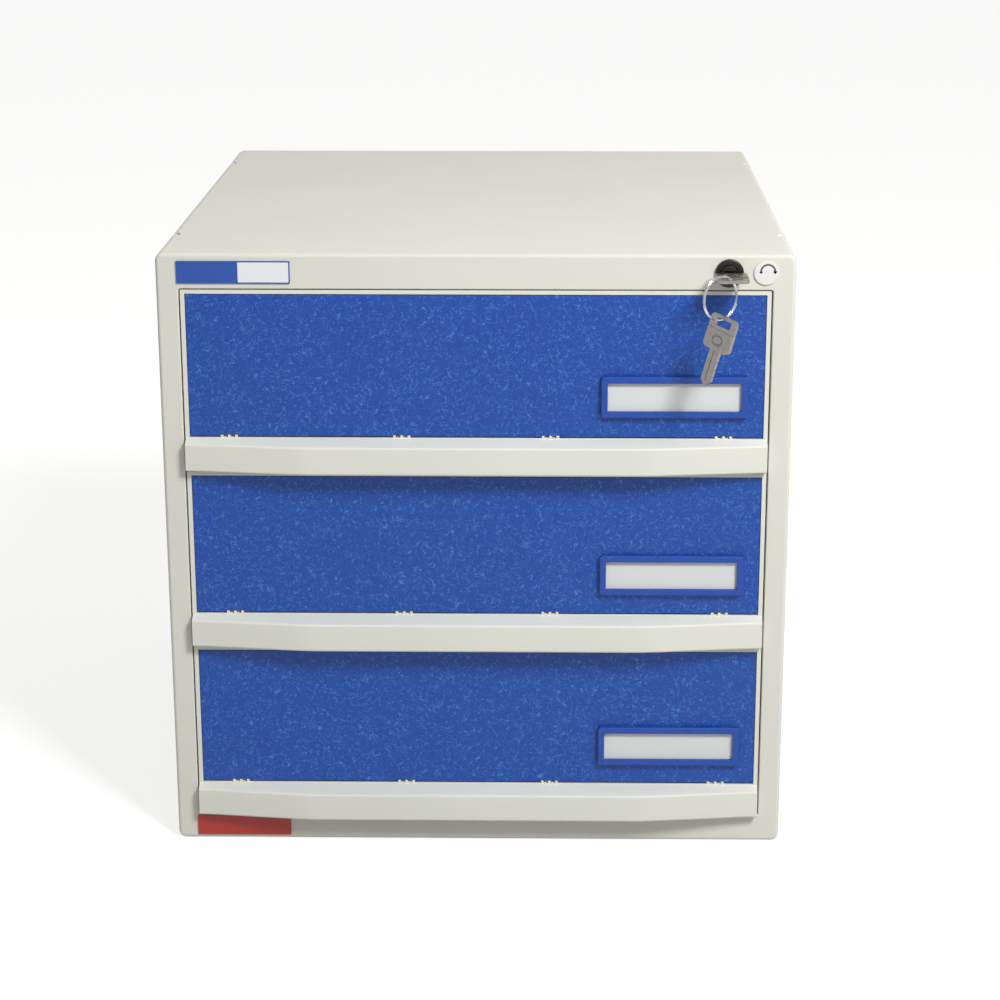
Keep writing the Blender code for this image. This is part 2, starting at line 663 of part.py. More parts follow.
def make_tray(level, slide):
    low = level_floor(level) + TRAY_LIFT
    high = low + TRAY_HEIGHT
    shape = bmesh.new()
    add_block(shape, (-TRAY_HALF_WIDTH, TRAY_FRONT_Y, low), (TRAY_HALF_WIDTH, TRAY_BACK_Y, high))
    sides = bmesh.new()
    rail_z = level_floor(level) + RAIL_HEIGHT
    for side in (-1, 1):
        near, far = sorted((side * (TRAY_HALF_WIDTH - TRAY_WALL / 2), side * RAIL_TIP_X))
        add_block(
            sides,
            (near, RUNNER_FRONT_Y + RUNNING_GAP, rail_z - RAIL_THICKNESS / 2),
            (far, TRAY_BACK_Y - RUNNING_GAP, rail_z + RAIL_THICKNESS / 2),
        )
    inside = bmesh.new()
    add_block(
        inside,
        (TRAY_WALL - TRAY_HALF_WIDTH, TRAY_FRONT_Y + TRAY_WALL, low + TRAY_FLOOR),
        (TRAY_HALF_WIDTH - TRAY_WALL, TRAY_BACK_Y - TRAY_WALL, high + OVERRUN),
    )
    sub_part(f"drawer_{level + 1}_tray", PALE_TRAY, shape, (sides,), (inside,), slide)


# The catch on the tray's right side, which the locking bar's tab drops in front of
def make_catch(level, slide):
    low = level_floor(level) + CATCH_LIFT
    shape = bmesh.new()
    near = (TRAY_HALF_WIDTH + SEAM, CATCH_FRONT_Y, low)
    add_block(shape, near, (RAIL_TIP_X, CATCH_BACK_Y, low + CATCH_HEIGHT))
    sub_part(f"drawer_{level + 1}_catch", STEEL, shape, carrier=slide)


# Lock

def make_lock_housing():
    flange_back = FACE_Y - SEAM
    barrel_end = flange_back + BARREL_LENGTH
    profile = (
        (BARREL_BORE, LOCK_FACE_Y),
        (LOCK_FACE_RADIUS - LOCK_FACE_BEVEL, LOCK_FACE_Y),
        (LOCK_FACE_RADIUS, LOCK_FACE_Y + LOCK_FACE_BEVEL),
        (LOCK_FACE_RADIUS, flange_back),
        (BARREL_RADIUS, flange_back),
        (BARREL_RADIUS, barrel_end),
        (BARREL_BORE, barrel_end),
    )
    shape = bmesh.new()
    add_turned(shape, (LOCK_X, LOCK_Z), profile, 32, closed=True)
    sub_part("lock_housing", LOCK_METAL, shape)


def make_lock_nut():
    front = FACE_Y + CASE_WALL + SEAM
    hexagon = circle((LOCK_X, LOCK_Z), NUT_FLATS_HALF / cos(pi / 6), 6)
    shape = bmesh.new()
    add_prism(shape, hexagon, "Y", front, front + NUT_THICKNESS)
    bore = bmesh.new()
    add_prism(
        bore,
        circle((LOCK_X, LOCK_Z), BARREL_RADIUS + SEAM, 32),
        "Y",
        front - OVERRUN,
        front + NUT_THICKNESS + OVERRUN,
    )
    sub_part("lock_nut", STEEL, shape, cuts=(bore,))


def make_lock_plug(turn):
    shape = bmesh.new()
    add_turned(
        shape,
        (LOCK_X, LOCK_Z),
        ((0, PLUG_FACE_Y), (PLUG_RADIUS, PLUG_FACE_Y), (PLUG_RADIUS, PLUG_BACK_Y), (0, PLUG_BACK_Y)),
        32,
    )
    cut = bmesh.new()
    keyway_low = LOCK_Z - KEY_BLADE_THICKNESS / 2 - SEAM
    add_block(
        cut,
        (LOCK_X - KEYWAY_WIDTH / 2, PLUG_FACE_Y - OVERRUN, keyway_low),
        (LOCK_X + KEYWAY_WIDTH / 2, KEYWAY_END_Y, keyway_low + KEYWAY_HEIGHT),
    )
    screw_hole = circle((LOCK_X, LOCK_Z), CAM_SCREW_RADIUS + SEAM, 16)
    add_prism(cut, screw_hole, "Y", PLUG_BACK_Y - CAM_SCREW_BITE - SEAM, PLUG_BACK_Y + OVERRUN)
    sub_part("lock_plug", LOCK_METAL, shape, cuts=(cut,), carrier=turn)


# The cam points up and to the right while the drawers are free, and its pin works in the bar's slot
def make_lock_cam(turn):
    pin = (LOCK_X + CAM_THROW * cos(pi / 4), LOCK_Z + CAM_THROW * sin(pi / 4))
    outline = arc((LOCK_X, LOCK_Z), CAM_HALF_WIDTH, 3 * pi / 4, 7 * pi / 4, 8)
    outline += arc(pin, CAM_PIN_RADIUS * 2, -pi / 4, 3 * pi / 4, 8)
    shape = bmesh.new()
    add_prism(shape, outline, "Y", CAM_FRONT_Y, CAM_BACK_Y)
    pin_shape = bmesh.new()
    pin_root = CAM_FRONT_Y + CAM_THICKNESS / 2
    add_prism(pin_shape, circle(pin, CAM_PIN_RADIUS, 16), "Y", pin_root, BAR_BACK_Y + SEAM)
    cut = bmesh.new()
    add_prism(
        cut,
        circle((LOCK_X, LOCK_Z), CAM_SCREW_RADIUS + SEAM, 16),
        "Y",
        CAM_FRONT_Y - OVERRUN,
        CAM_BACK_Y + OVERRUN,
    )
    sub_part("lock_cam", STEEL, shape, (pin_shape,), (cut,), turn)


def make_cam_screw(turn):
    head_front = CAM_BACK_Y + SEAM
    head_back = head_front + CAM_SCREW_HEAD_THICKNESS
    tip = PLUG_BACK_Y - CAM_SCREW_BITE
    profile = (
        (0, tip),
        (CAM_SCREW_RADIUS, tip),
        (CAM_SCREW_RADIUS, head_front),
        (CAM_SCREW_HEAD_RADIUS, head_front),
        (CAM_SCREW_HEAD_RADIUS, head_back),
        (0, head_back),
    )
    shape = bmesh.new()
    add_turned(shape, (LOCK_X, LOCK_Z), profile, 16)
    sub_part("cam_screw", STEEL, shape, carrier=turn)


# The bar hangs behind the right stile. Its arm holds the cam's pin, and a tab stands over each drawer's catch
def make_locking_bar(slide):
    pin_z = LOCK_Z + CAM_THROW * sin(pi / 4)
    slot_left = LOCK_X + CAM_THROW * cos(pi / 4) - CAM_PIN_RADIUS - PIN_SLOT_GAP
    slot_right = LOCK_X + CAM_THROW + CAM_PIN_RADIUS + PIN_SLOT_GAP
    slot_half = CAM_PIN_RADIUS + PIN_SLOT_GAP
    arm_left = slot_left - (BAR_ARM_HALF - slot_half)
    tab_tip = TRAY_HALF_WIDTH + TAB_SIDE_GAP
    outline = [
        (BAR_OUTER_X, tab_bottom(DRAWER_COUNT - 1) - BAR_TAIL),
        (BAR_OUTER_X, pin_z + BAR_ARM_HALF),
        (arm_left, pin_z + BAR_ARM_HALF),
        (arm_left, pin_z - BAR_ARM_HALF),
        (BAR_INNER_X, pin_z - BAR_ARM_HALF),
    ]
    for level in LEVELS:
        low = tab_bottom(level)
        outline += [(BAR_INNER_X, low + TAB_HEIGHT), (tab_tip, low + TAB_HEIGHT)]
        outline += [(tab_tip, low), (BAR_INNER_X, low)]
    outline.append((BAR_INNER_X, tab_bottom(DRAWER_COUNT - 1) - BAR_TAIL))
    shape = bmesh.new()
    add_prism(shape, outline, "Y", BAR_FRONT_Y, BAR_BACK_Y)
    slot = bmesh.new()
    add_prism(
        slot,
        rectangle(slot_left, slot_right, pin_z - slot_half, pin_z + slot_half),
        "Y",
        BAR_FRONT_Y - OVERRUN,
        BAR_BACK_Y + OVERRUN,
    )
    sub_part("locking_bar", STEEL, shape, cuts=(slot,), carrier=slide)


def tab_bottom(level):
    return level_floor(level) + CATCH_LIFT + CATCH_HEIGHT + TAB_CATCH_GAP


def make_bar_guide(name, level):
    middle = level_floor(level) + GUIDE_LEVEL
    shape = bmesh.new()
    add_block(
        shape,
        (BAR_INNER_X - SEAM - GUIDE_WALL, BAR_FRONT_Y - SEAM - GUIDE_WALL, middle - GUIDE_HEIGHT / 2),
        (SIDE_INNER_X - SEAM, BAR_BACK_Y + SEAM + GUIDE_WALL, middle + GUIDE_HEIGHT / 2),
    )
    cut = bmesh.new()
    add_block(
        cut,
        (BAR_INNER_X - SEAM, BAR_FRONT_Y - SEAM, middle - GUIDE_HEIGHT / 2 - OVERRUN),
        (BAR_OUTER_X + SEAM, BAR_BACK_Y + SEAM, middle + GUIDE_HEIGHT / 2 + OVERRUN),
    )
    sub_part(name, RUNNER_PLASTIC, shape, cuts=(cut,))


# Keys

# A flat key along Y, with the end of its bow at the origin and its blade towards +Y
def make_key(name, carrier, turn):
    half = KEY_BOW_WIDTH / 2
    face = KEY_BOW_THICKNESS / 2
    bow = bmesh.new()
    add_prism(bow, round_rectangle(-half, half, 0, KEY_BOW_LENGTH, KEY_BOW_CORNER), "Z", -face, face)
    blade_half = KEY_BLADE_WIDTH / 2
    outline = [
        (-blade_half, KEY_BOW_LENGTH - KEY_BLADE_TIP),
        (-blade_half, KEY_LENGTH - KEY_BLADE_TIP),
        (-blade_half / 3, KEY_LENGTH),
        (blade_half / 3, KEY_LENGTH),
        (blade_half, KEY_LENGTH - KEY_BLADE_TIP),
    ]
    for share in reversed(BITTING_SHARES):
        middle = KEY_BOW_LENGTH + KEY_BLADE_LENGTH * share
        outline += [
            (blade_half, middle + BITTING_DEPTH),
            (blade_half - BITTING_DEPTH, middle),
            (blade_half, middle - BITTING_DEPTH),
        ]
    outline.append((blade_half, KEY_BOW_LENGTH - KEY_BLADE_TIP))
    blade = bmesh.new()
    add_prism(blade, outline, "Z", -KEY_BLADE_THICKNESS / 2, KEY_BLADE_THICKNESS / 2)
    cut = bmesh.new()
    slot_half = KEY_SLOT_WIDTH / 2
    slot_end = KEY_END_STRIP + KEY_SLOT_HEIGHT
    slot = round_rectangle(-slot_half, slot_half, KEY_END_STRIP, slot_end, KEY_SLOT_CORNER)
    add_prism(cut, slot, "Z", -face - OVERRUN, face + OVERRUN)
    band = bmesh.new()
    for side in (-1, 1):
        near, far = sorted((side * (face - KEY_BAND_SINK), side * (face + OVERRUN)))
        add_block(band, (-half - OVERRUN, -OVERRUN, near), (half + OVERRUN, KEY_BAND_LENGTH, far))
    sub_part(name, KEY_METAL, bow, (blade,), (cut, band), carrier, turn)


RING_ACROSS = Vector((cos(RING_YAW), sin(RING_YAW), 0))
RING_HOLE = Vector((LOCK_X, SLOT_MIDDLE_Y, LOCK_Z))
RING_MIDDLE = RING_HOLE - RING_ACROSS * sqrt(RING_RADIUS**2 - RING_DROP**2) - Vector((0, 0, RING_DROP))
RING_BOTTOM = RING_MIDDLE - Vector((0, 0, RING_RADIUS))


def make_key_ring(swivel):
    up = Vector((0, 0, 1))
    through = RING_ACROSS.cross(up)
    around = 40
    sides = 8
    shape = bmesh.new()
    rows = []
    for step in range(around):
        angle = 2 * pi * step / around
        outward = RING_ACROSS * cos(angle) + up * sin(angle)
        row = []
        for side in range(sides):
            turn = 2 * pi * side / sides
            spot = RING_MIDDLE + outward * (RING_RADIUS + RING_WIRE * cos(turn))
            row.append(shape.verts.new(spot + through * RING_WIRE * sin(turn)))
        rows.append(row)
    for one, other in zip(rows, rows[1:] + rows[:1]):
        for side in range(sides):
            after = (side + 1) % sides
            shape.faces.new((one[side], one[after], other[after], other[side]))
    sub_part("key_ring", CHROME, shape, carrier=swivel)


# The spare key hangs from the lowest stretch of the ring, near one end of its slot
def spare_key_turn():
    raised = Vector((sin(SPARE_TILT), 0, cos(SPARE_TILT)))
    level = Vector((cos(SPARE_TILT), 0, -sin(SPARE_TILT)))
    across = level * cos(SPARE_YAW) - Vector((0, 1, 0)) * sin(SPARE_YAW)
    along = -raised
    through = across.cross(along)
    end = RING_BOTTOM + across * SPARE_SLOT_OFFSET + raised * (KEY_END_STRIP + SEAM + RING_WIRE)
    turn = Matrix((across, along, through)).transposed().to_4x4()
    turn.translation = end
    return turn


# Flat pieces on the front

def make_turn_disc():
    middle = (HALF_WIDTH - DISC_FROM_SIDE, CASE_HEIGHT - DISC_BELOW_TOP)
    back = FACE_Y - SEAM
    front = back - DISC_THICKNESS
    shape = bmesh.new()
    add_turned(shape, middle, ((0, front), (DISC_RADIUS, front), (DISC_RADIUS, back), (0, back)), 32)
    sub_part("turn_disc", WHITE_PLASTIC, shape)


def make_plate(name, material, left, low, width, height):
    back = FACE_Y - SEAM
    shape = bmesh.new()
    add_block(shape, (left, back - PLATE_THICKNESS, low), (left + width, back, low + height))
    sub_part(name, material, shape)


make_front_frame()
make_top_cover()
make_base_panel()
make_side_panel("left_side_panel", -1)
make_side_panel("right_side_panel", 1)
make_back_panel()
make_back_screws()

for drawer in LEVELS:
    make_runner(drawer, -1, "left")
    make_runner(drawer, 1, "right")
    drawer_slide = pivot(f"drawer_{drawer + 1}_slide", (0, FACE_Y, front_bottom(drawer)))
    make_drawer_front(drawer, drawer_slide)
    make_insert(drawer, drawer_slide)
    make_label_holder(drawer, drawer_slide)
    make_tray(drawer, drawer_slide)
    make_catch(drawer, drawer_slide)

lock_turn = pivot("lock_turn", (LOCK_X, FACE_Y, LOCK_Z))
bar_slide = pivot("bar_slide", (BAR_INNER_X, BAR_FRONT_Y, LOCK_Z))
key_slide = pivot("key_slide", (LOCK_X, PLUG_FACE_Y, LOCK_Z), lock_turn)
ring_swivel = pivot("ring_swivel", RING_HOLE, key_slide)
spare_key_swing = pivot("spare_key_swing", RING_BOTTOM, ring_swivel)
make_lock_housing()
make_lock_nut()
make_lock_plug(lock_turn)
make_lock_cam(lock_turn)
make_cam_screw(lock_turn)
make_locking_bar(bar_slide)
make_bar_guide("bar_guide_upper", 0)
make_bar_guide("bar_guide_lower", 1)
make_key("key", key_slide, Matrix.Translation((LOCK_X, BOW_END_Y, LOCK_Z)))
make_key_ring(ring_swivel)
make_key("spare_key", spare_key_swing, spare_key_turn())

make_turn_disc()
make_plate(
    "name_plate",
    BLUE_PLASTIC,
    NAME_PLATE_FROM_SIDE - HALF_WIDTH,
    CASE_HEIGHT - NAME_PLATE_BELOW_TOP - NAME_PLATE_HEIGHT,
    NAME_PLATE_WIDTH,
    NAME_PLATE_HEIGHT,
)
make_plate(
    "lower_plate",
    RED_VINYL,
    NAME_PLATE_FROM_SIDE - HALF_WIDTH,
    LOWER_PLATE_LIFT,
    LOWER_PLATE_WIDTH,
    LOWER_PLATE_HEIGHT,
)
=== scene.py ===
import json
import bpy
import bmesh
from math import cos, pi, radians, sin
from mathutils import Matrix, Vector


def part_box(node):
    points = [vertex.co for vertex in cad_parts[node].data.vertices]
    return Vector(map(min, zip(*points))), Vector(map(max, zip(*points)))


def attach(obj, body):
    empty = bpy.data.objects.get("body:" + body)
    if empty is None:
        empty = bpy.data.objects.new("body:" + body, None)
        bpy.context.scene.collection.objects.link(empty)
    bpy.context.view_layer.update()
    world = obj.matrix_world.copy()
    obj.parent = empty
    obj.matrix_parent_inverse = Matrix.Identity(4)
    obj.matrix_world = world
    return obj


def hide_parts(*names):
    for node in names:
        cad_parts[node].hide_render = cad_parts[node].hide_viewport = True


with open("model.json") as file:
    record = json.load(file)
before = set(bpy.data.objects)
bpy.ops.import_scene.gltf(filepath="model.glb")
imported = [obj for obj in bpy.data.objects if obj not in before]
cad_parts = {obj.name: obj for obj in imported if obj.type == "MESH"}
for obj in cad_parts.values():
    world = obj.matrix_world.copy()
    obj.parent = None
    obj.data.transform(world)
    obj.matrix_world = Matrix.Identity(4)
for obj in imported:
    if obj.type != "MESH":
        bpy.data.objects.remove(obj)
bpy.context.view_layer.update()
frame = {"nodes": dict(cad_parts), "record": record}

mm = 0.001
homeOf = {node: body for body, nodes in frame["record"]["behaviour"]["bodies"].items() for node in nodes}
print("stage: packed model loaded")


# Small helpers for colours, nodes and pieces

def toLinear(code):
    channels = [int(code[at:at + 2], 16) / 255 for at in (1, 3, 5)]
    return [c / 12.92 if c <= 0.04045 else ((c + 0.055) / 1.055) ** 2.4 for c in channels] + [1]


def addNode(tree, kind, settings=None, links=None, stops=()):
    made = tree.nodes.new(kind)
    for key, value in (settings or {}).items():
        if isinstance(key, int) or key in made.inputs:
            made.inputs[key].default_value = value
        else:
            setattr(made, key, value)
    for key, source in (links or {}).items():
        tree.links.new(source, made.inputs[key])
    for number, (place, colour) in enumerate(stops):  # colour stops, for a ramp
        element = made.color_ramp.elements[number] if number < 2 else made.color_ramp.elements.new(place)
        element.position = place
        element.color = colour
    return made


def newMaterial(name):
    material = bpy.data.materials.new(name)
    material.use_nodes = True
    return material, material.node_tree, material.node_tree.nodes["Principled BSDF"]


def newPiece(name, bm):
    data = bpy.data.meshes.new(name)
    bm.to_mesh(data)
    bm.free()
    piece = bpy.data.objects.new(name, data)
    bpy.context.scene.collection.objects.link(piece)
    return piece


def bake(piece):  # the piece's modifiers become its mesh
    bpy.context.view_layer.update()
    graph = bpy.context.evaluated_depsgraph_get()
    baked = bpy.data.meshes.new_from_object(piece.evaluated_get(graph))
    piece.modifiers.clear()
    piece.data = baked


def carve(piece, *cutters):
    for cutter in cutters:
        bmesh.ops.recalc_face_normals(cutter, faces=cutter.faces)
        tool = newPiece("cutter", cutter)
        cut = piece.modifiers.new("cut", "BOOLEAN")
        cut.operation = "DIFFERENCE"
        cut.object = tool
        bake(piece)
        bpy.data.objects.remove(tool)


def dress(piece, finish, *nodes, body=None, smooth=40):  # finish, shading, and what it rides on and stands for
    piece.data.materials.clear()
    piece.data.materials.append(finish)
    piece.data.shade_smooth()
    piece.data.set_sharp_from_angle(angle=radians(smooth))
    flats = piece.modifiers.new("flats", "WEIGHTED_NORMAL")
    flats.keep_sharp = True
    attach(piece, body or homeOf[nodes[0]])
    if nodes:
        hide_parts(*nodes)
    return piece


def bevelSharp(bm, width, segments=2, least=40):
    edges = [e for e in bm.edges if e.is_manifold and e.calc_face_angle(0) > radians(least)]
    bmesh.ops.bevel(bm, geom=edges, offset=width, segments=segments, profile=0.5, affect="EDGES",
                    material=-1, clamp_overlap=True)


def packedShape(node):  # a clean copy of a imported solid, with its flat faces whole again
    bm = bmesh.new()
    bm.from_mesh(frame["nodes"][node].data)
    bmesh.ops.remove_doubles(bm, verts=bm.verts, dist=0.004 * mm)
    bmesh.ops.dissolve_limit(bm, angle_limit=radians(1), verts=bm.verts, edges=bm.edges)
    return bm


def softened(node, name, finish, width, segments=2):
    bm = packedShape(node)
    bevelSharp(bm, width, segments)
    return dress(newPiece(name, bm), finish, node)


def addBox(bm, low, high):
    made = bmesh.ops.create_cube(bm, size=1)["verts"]
    bmesh.ops.scale(bm, vec=[b - a for a, b in zip(low, high)], verts=made)
    bmesh.ops.translate(bm, vec=[(a + b) / 2 for a, b in zip(low, high)], verts=made)
    return made


def turned(profile, centre, steps=72):  # a profile of (radius, y) turned round a line parallel to Y
    bm = bmesh.new()
    line = [bm.verts.new((centre[0] + radius, along, centre[1])) for radius, along in profile]
    edges = [bm.edges.new(pair) for pair in zip(line, line[1:])]
    bmesh.ops.spin(bm, geom=line + edges, cent=(centre[0], 0, centre[1]), axis=(0, 1, 0), angle=2 * pi,
                   steps=steps, use_merge=True)
    bmesh.ops.remove_doubles(bm, verts=bm.verts, dist=0.004 * mm)
    bmesh.ops.recalc_face_normals(bm, faces=bm.faces)
    return bm


# Finishes

def sparkedAbs(name, code, values):
    # ABS moulded in a spark-eroded tool: satin, a very fine even grain, hardly any clouding in the colour
    material, tree, shader = newMaterial(name)
    base = toLinear(code)
    place = addNode(tree, "ShaderNodeTexCoord").outputs["Object"]
    cloud = addNode(tree, "ShaderNodeTexNoise", {"Scale": 1 / values["cloud"], "Detail": 3.0}, {"Vector": place})
    grain = addNode(tree, "ShaderNodeTexNoise", {"Scale": 1 / values["grain"], "Detail": 4.0, "Roughness": 0.6},
                    {"Vector": place})
    darker = [c * (1 - values["cloudsAndPaintedLight"]) for c in base[:3]] + [1]
    lighter = [min(1, c * (1 + values["cloudsAndPaintedLight"])) for c in base[:3]] + [1]
    colour = addNode(tree, "ShaderNodeValToRGB", {}, {"Fac": cloud.outputs["Fac"]}, ((0.35, darker), (0.65, lighter)))
    tree.links.new(colour.outputs["Color"], shader.inputs["Base Color"])
    sheen = addNode(tree, "ShaderNodeMapRange",
                    {"To Min": values["roughness"] - 0.05, "To Max": values["roughness"] + 0.07},
                    {"Value": grain.outputs["Fac"]})
    tree.links.new(sheen.outputs["Result"], shader.inputs["Roughness"])
    bump = addNode(tree, "ShaderNodeBump", {"Strength": values["bump"], "Distance": values["depth"]},
                   {"Height": grain.outputs["Fac"]})
    tree.links.new(bump.outputs["Normal"], shader.inputs["Normal"])
    shader.inputs["IOR"].default_value = 1.53
    shader.inputs["Specular IOR Level"].default_value = values["gloss"]
    return material


sparked = {"cloud": 90 * mm, "cloudsAndPaintedLight": 0.012, "grain": 0.9 * mm, "depth": 0.05 * mm, "bump": 0.35,
           "roughness": 0.56, "gloss": 0.22}  # the real grain is finer: drawn as coarse as it needs to show
caseAbs = sparkedAbs("warmGreyAbs", "#dddbd1", sparked)
frontAbs = sparkedAbs("paleGreyAbs", "#e0e0d6", sparked)
trayAbs = sparkedAbs("trayAbs", "#d6d5cc", {**sparked, "roughness": 0.5})
runnerPlastic = sparkedAbs("naturalAcetal", "#cfcdc3", {**sparked, "roughness": 0.4, "bump": 0.15})
discPlastic = sparkedAbs("whiteVinyl", "#e6e4df", {**sparked, "roughness": 0.38, "bump": 0.1})


def strokedPolystyrene(name, code, values):
    # Polystyrene sheet with a moulded hair grain: short fine raised strokes that run every way, bumped and smoother
    # than the sheet; their paler blue is a painted highlight where they catch the lamp
    material, tree, shader = newMaterial(name)
    place = addNode(tree, "ShaderNodeTexCoord").outputs["Object"]
    height = None
    for turn, size in enumerate(values["strokeSizes"]):  # thin contour lines of a noise, broken up by another noise
        moved = addNode(tree, "ShaderNodeMapping", {"Location": [0.37 * turn, 0.21 * turn, 0.53 * turn]},
                        {"Vector": place})
        swirl = addNode(tree, "ShaderNodeTexNoise", {"Scale": 1 / size, "Detail": 1.0, "Distortion": 0.8},
                        {"Vector": moved.outputs["Vector"]})
        half = values["strokeWidth"] * 0.32 / size
        line = addNode(tree, "ShaderNodeValToRGB", {}, {"Fac": swirl.outputs["Fac"]},
                       ((0.5 - half, (0, 0, 0, 1)), (0.5 + half, (0, 0, 0, 1)), (0.5, (1, 1, 1, 1))))
        gaps = addNode(tree, "ShaderNodeTexNoise", {"Scale": 1.7 / size, "Detail": 1.0},
                       {"Vector": moved.outputs["Vector"]})
        kept = addNode(tree, "ShaderNodeMapRange", {"From Min": 0.44, "From Max": 0.66},
                       {"Value": gaps.outputs["Fac"]})
        stroke = addNode(tree, "ShaderNodeMath", {"operation": "MULTIPLY"},
                         {0: line.outputs["Color"], 1: kept.outputs["Result"]})
        height = stroke if height is None else addNode(tree, "ShaderNodeMath", {"operation": "MAXIMUM"},
                                                       {0: height.outputs[0], 1: stroke.outputs[0]})
    grain = addNode(tree, "ShaderNodeTexNoise", {"Scale": 1 / values["grain"], "Detail": 3.0}, {"Vector": place})
    rough = addNode(tree, "ShaderNodeMath", {"operation": "MULTIPLY_ADD", 1: 0.35},
                    {0: grain.outputs["Fac"], 2: height.outputs[0]})
    # the grain's own tone runs from the dark stop to the base colour; the raised strokes run on to the paler stop, a
    # painted highlight
    colour = addNode(tree, "ShaderNodeValToRGB", {}, {"Fac": rough.outputs[0]},
                     ((0.1, toLinear(values["dark"])), (1.2, toLinear(values["paintedStrokeHighlight"])), (0.2, toLinear(code))))
    tree.links.new(colour.outputs["Color"], shader.inputs["Base Color"])
    sheen = addNode(tree, "ShaderNodeMapRange",
                    {"To Min": values["roughness"] + 0.08, "To Max": values["roughness"] - 0.08},
                    {"Value": rough.outputs[0]})
    tree.links.new(sheen.outputs["Result"], shader.inputs["Roughness"])
    bump = addNode(tree, "ShaderNodeBump", {"Strength": values["bump"], "Distance": values["depth"]},
                   {"Height": rough.outputs[0]})
    tree.links.new(bump.outputs["Normal"], shader.inputs["Normal"])
    shader.inputs["IOR"].default_value = 1.5
    return material


# the paler stroke colour is a painted highlight on the raised strokes
strokes = {"strokeSizes": (4.2 * mm, 5.2 * mm, 6.4 * mm), "strokeWidth": 0.36 * mm, "grain": 1.2 * mm,
           "dark": "#0b3c92", "paintedStrokeHighlight": "#3a75c2", "depth": 0.15 * mm, "bump": 0.45, "roughness": 0.46}
insertBlue = strokedPolystyrene("blueGrainedPolystyrene", "#0d459f", strokes)
holderBlue = strokedPolystyrene("blueSmoothPolystyrene", "#0c419d",
                                {**strokes, "bump": 0.05, "dark": "#0b3f9a", "paintedStrokeHighlight": "#1a52ac", "roughness": 0.34})


def platedMetal(name, code, values):
    # Plated steel or brass: one metal colour with darker clouds in it, faint drawn lines along one way, and cloudy
    # gloss. The darker clouds are faint mottle on zinc, painted shade on the keys, and painted reflections on the
    # lock and the chrome wire
    material, tree, shader = newMaterial(name)
    base = toLinear(code)
    place = addNode(tree, "ShaderNodeTexCoord").outputs["Object"]
    drawn = addNode(tree, "ShaderNodeMapping", {"Scale": [1 / s for s in values["lines"]]}, {"Vector": place})
    lines = addNode(tree, "ShaderNodeTexNoise", {"Scale": 1.0, "Detail": 4.0, "Roughness": 0.55},
                    {"Vector": drawn.outputs["Vector"]})
    cloud = addNode(tree, "ShaderNodeTexNoise", {"Scale": 1 / values["cloud"], "Detail": 3.0}, {"Vector": place})
    mixed = addNode(tree, "ShaderNodeMath", {"operation": "MULTIPLY"},
                    {0: lines.outputs["Fac"], 1: cloud.outputs["Fac"]})
    darker = [c * (1 - values["cloudsAndPaintedLight"]) for c in base[:3]] + [1]
    colour = addNode(tree, "ShaderNodeValToRGB", {}, {"Fac": mixed.outputs[0]}, ((0.1, darker), (0.4, base)))
    tree.links.new(colour.outputs["Color"], shader.inputs["Base Color"])
    sheen = addNode(tree, "ShaderNodeMapRange", {"From Min": 0.1, "From Max": 0.45,
                    "To Min": values["roughness"] + 0.08, "To Max": values["roughness"] - 0.04},
                    {"Value": mixed.outputs[0]})
    tree.links.new(sheen.outputs["Result"], shader.inputs["Roughness"])
    bump = addNode(tree, "ShaderNodeBump", {"Strength": 0.3, "Distance": values["depth"]},
                   {"Height": lines.outputs["Fac"]})
    tree.links.new(bump.outputs["Normal"], shader.inputs["Normal"])
    shader.inputs["Metallic"].default_value = 1
    return material


plate = {"lines": (0.25 * mm, 4 * mm, 4 * mm), "cloud": 5 * mm, "cloudsAndPaintedLight": 0.18, "depth": 0.012 * mm,
         "roughness": 0.34}
zincSteel = platedMetal("zincPlatedSteel", "#b4b6b8", plate)
# the keys' darker clouds are painted shade, standing in for the blade tilted away from the lamp
nickelBrassPaintedShade = platedMetal("nickelPlatedBrassPaintedShade", "#9c9895", {**plate, "roughness": 0.3, "cloud": 3 * mm})
# the chrome wire's strong dark clouds, down to about a quarter of its colour, are painted reflections of dark
# surroundings
chromeWirePaintedReflections = platedMetal("chromedSpringWirePaintedReflections", "#dfe0e4", {**plate, "roughness": 0.14, "cloudsAndPaintedLight": 0.72,
                                                         "cloud": 11 * mm, "lines": (9 * mm, 9 * mm, 9 * mm)})
# the lock's chrome face and plug are drawn in dark grey with darker clouds: a painted dark reflection
lockChromePaintedDark = platedMetal("lockChromePaintedDarkReflection", "#45423f", {**plate, "roughness": 0.34, "cloudsAndPaintedLight": 0.3})


def plainPaper(name, code, values):
    # Card or paper label: matt, with a faint tooth of fibres
    material, tree, shader = newMaterial(name)
    base = toLinear(code)
    place = addNode(tree, "ShaderNodeTexCoord").outputs["Object"]
    fibres = addNode(tree, "ShaderNodeTexNoise", {"Scale": 1 / values["fibre"], "Detail": 5.0, "Roughness": 0.7},
                     {"Vector": place})
    darker = [c * (1 - values["cloudsAndPaintedLight"]) for c in base[:3]] + [1]
    colour = addNode(tree, "ShaderNodeValToRGB", {}, {"Fac": fibres.outputs["Fac"]}, ((0.3, darker), (0.6, base)))
    tree.links.new(colour.outputs["Color"], shader.inputs["Base Color"])
    bump = addNode(tree, "ShaderNodeBump", {"Strength": 0.3, "Distance": 0.03 * mm},
                   {"Height": fibres.outputs["Fac"]})
    tree.links.new(bump.outputs["Normal"], shader.inputs["Normal"])
    shader.inputs["Roughness"].default_value = values["roughness"]
    return material


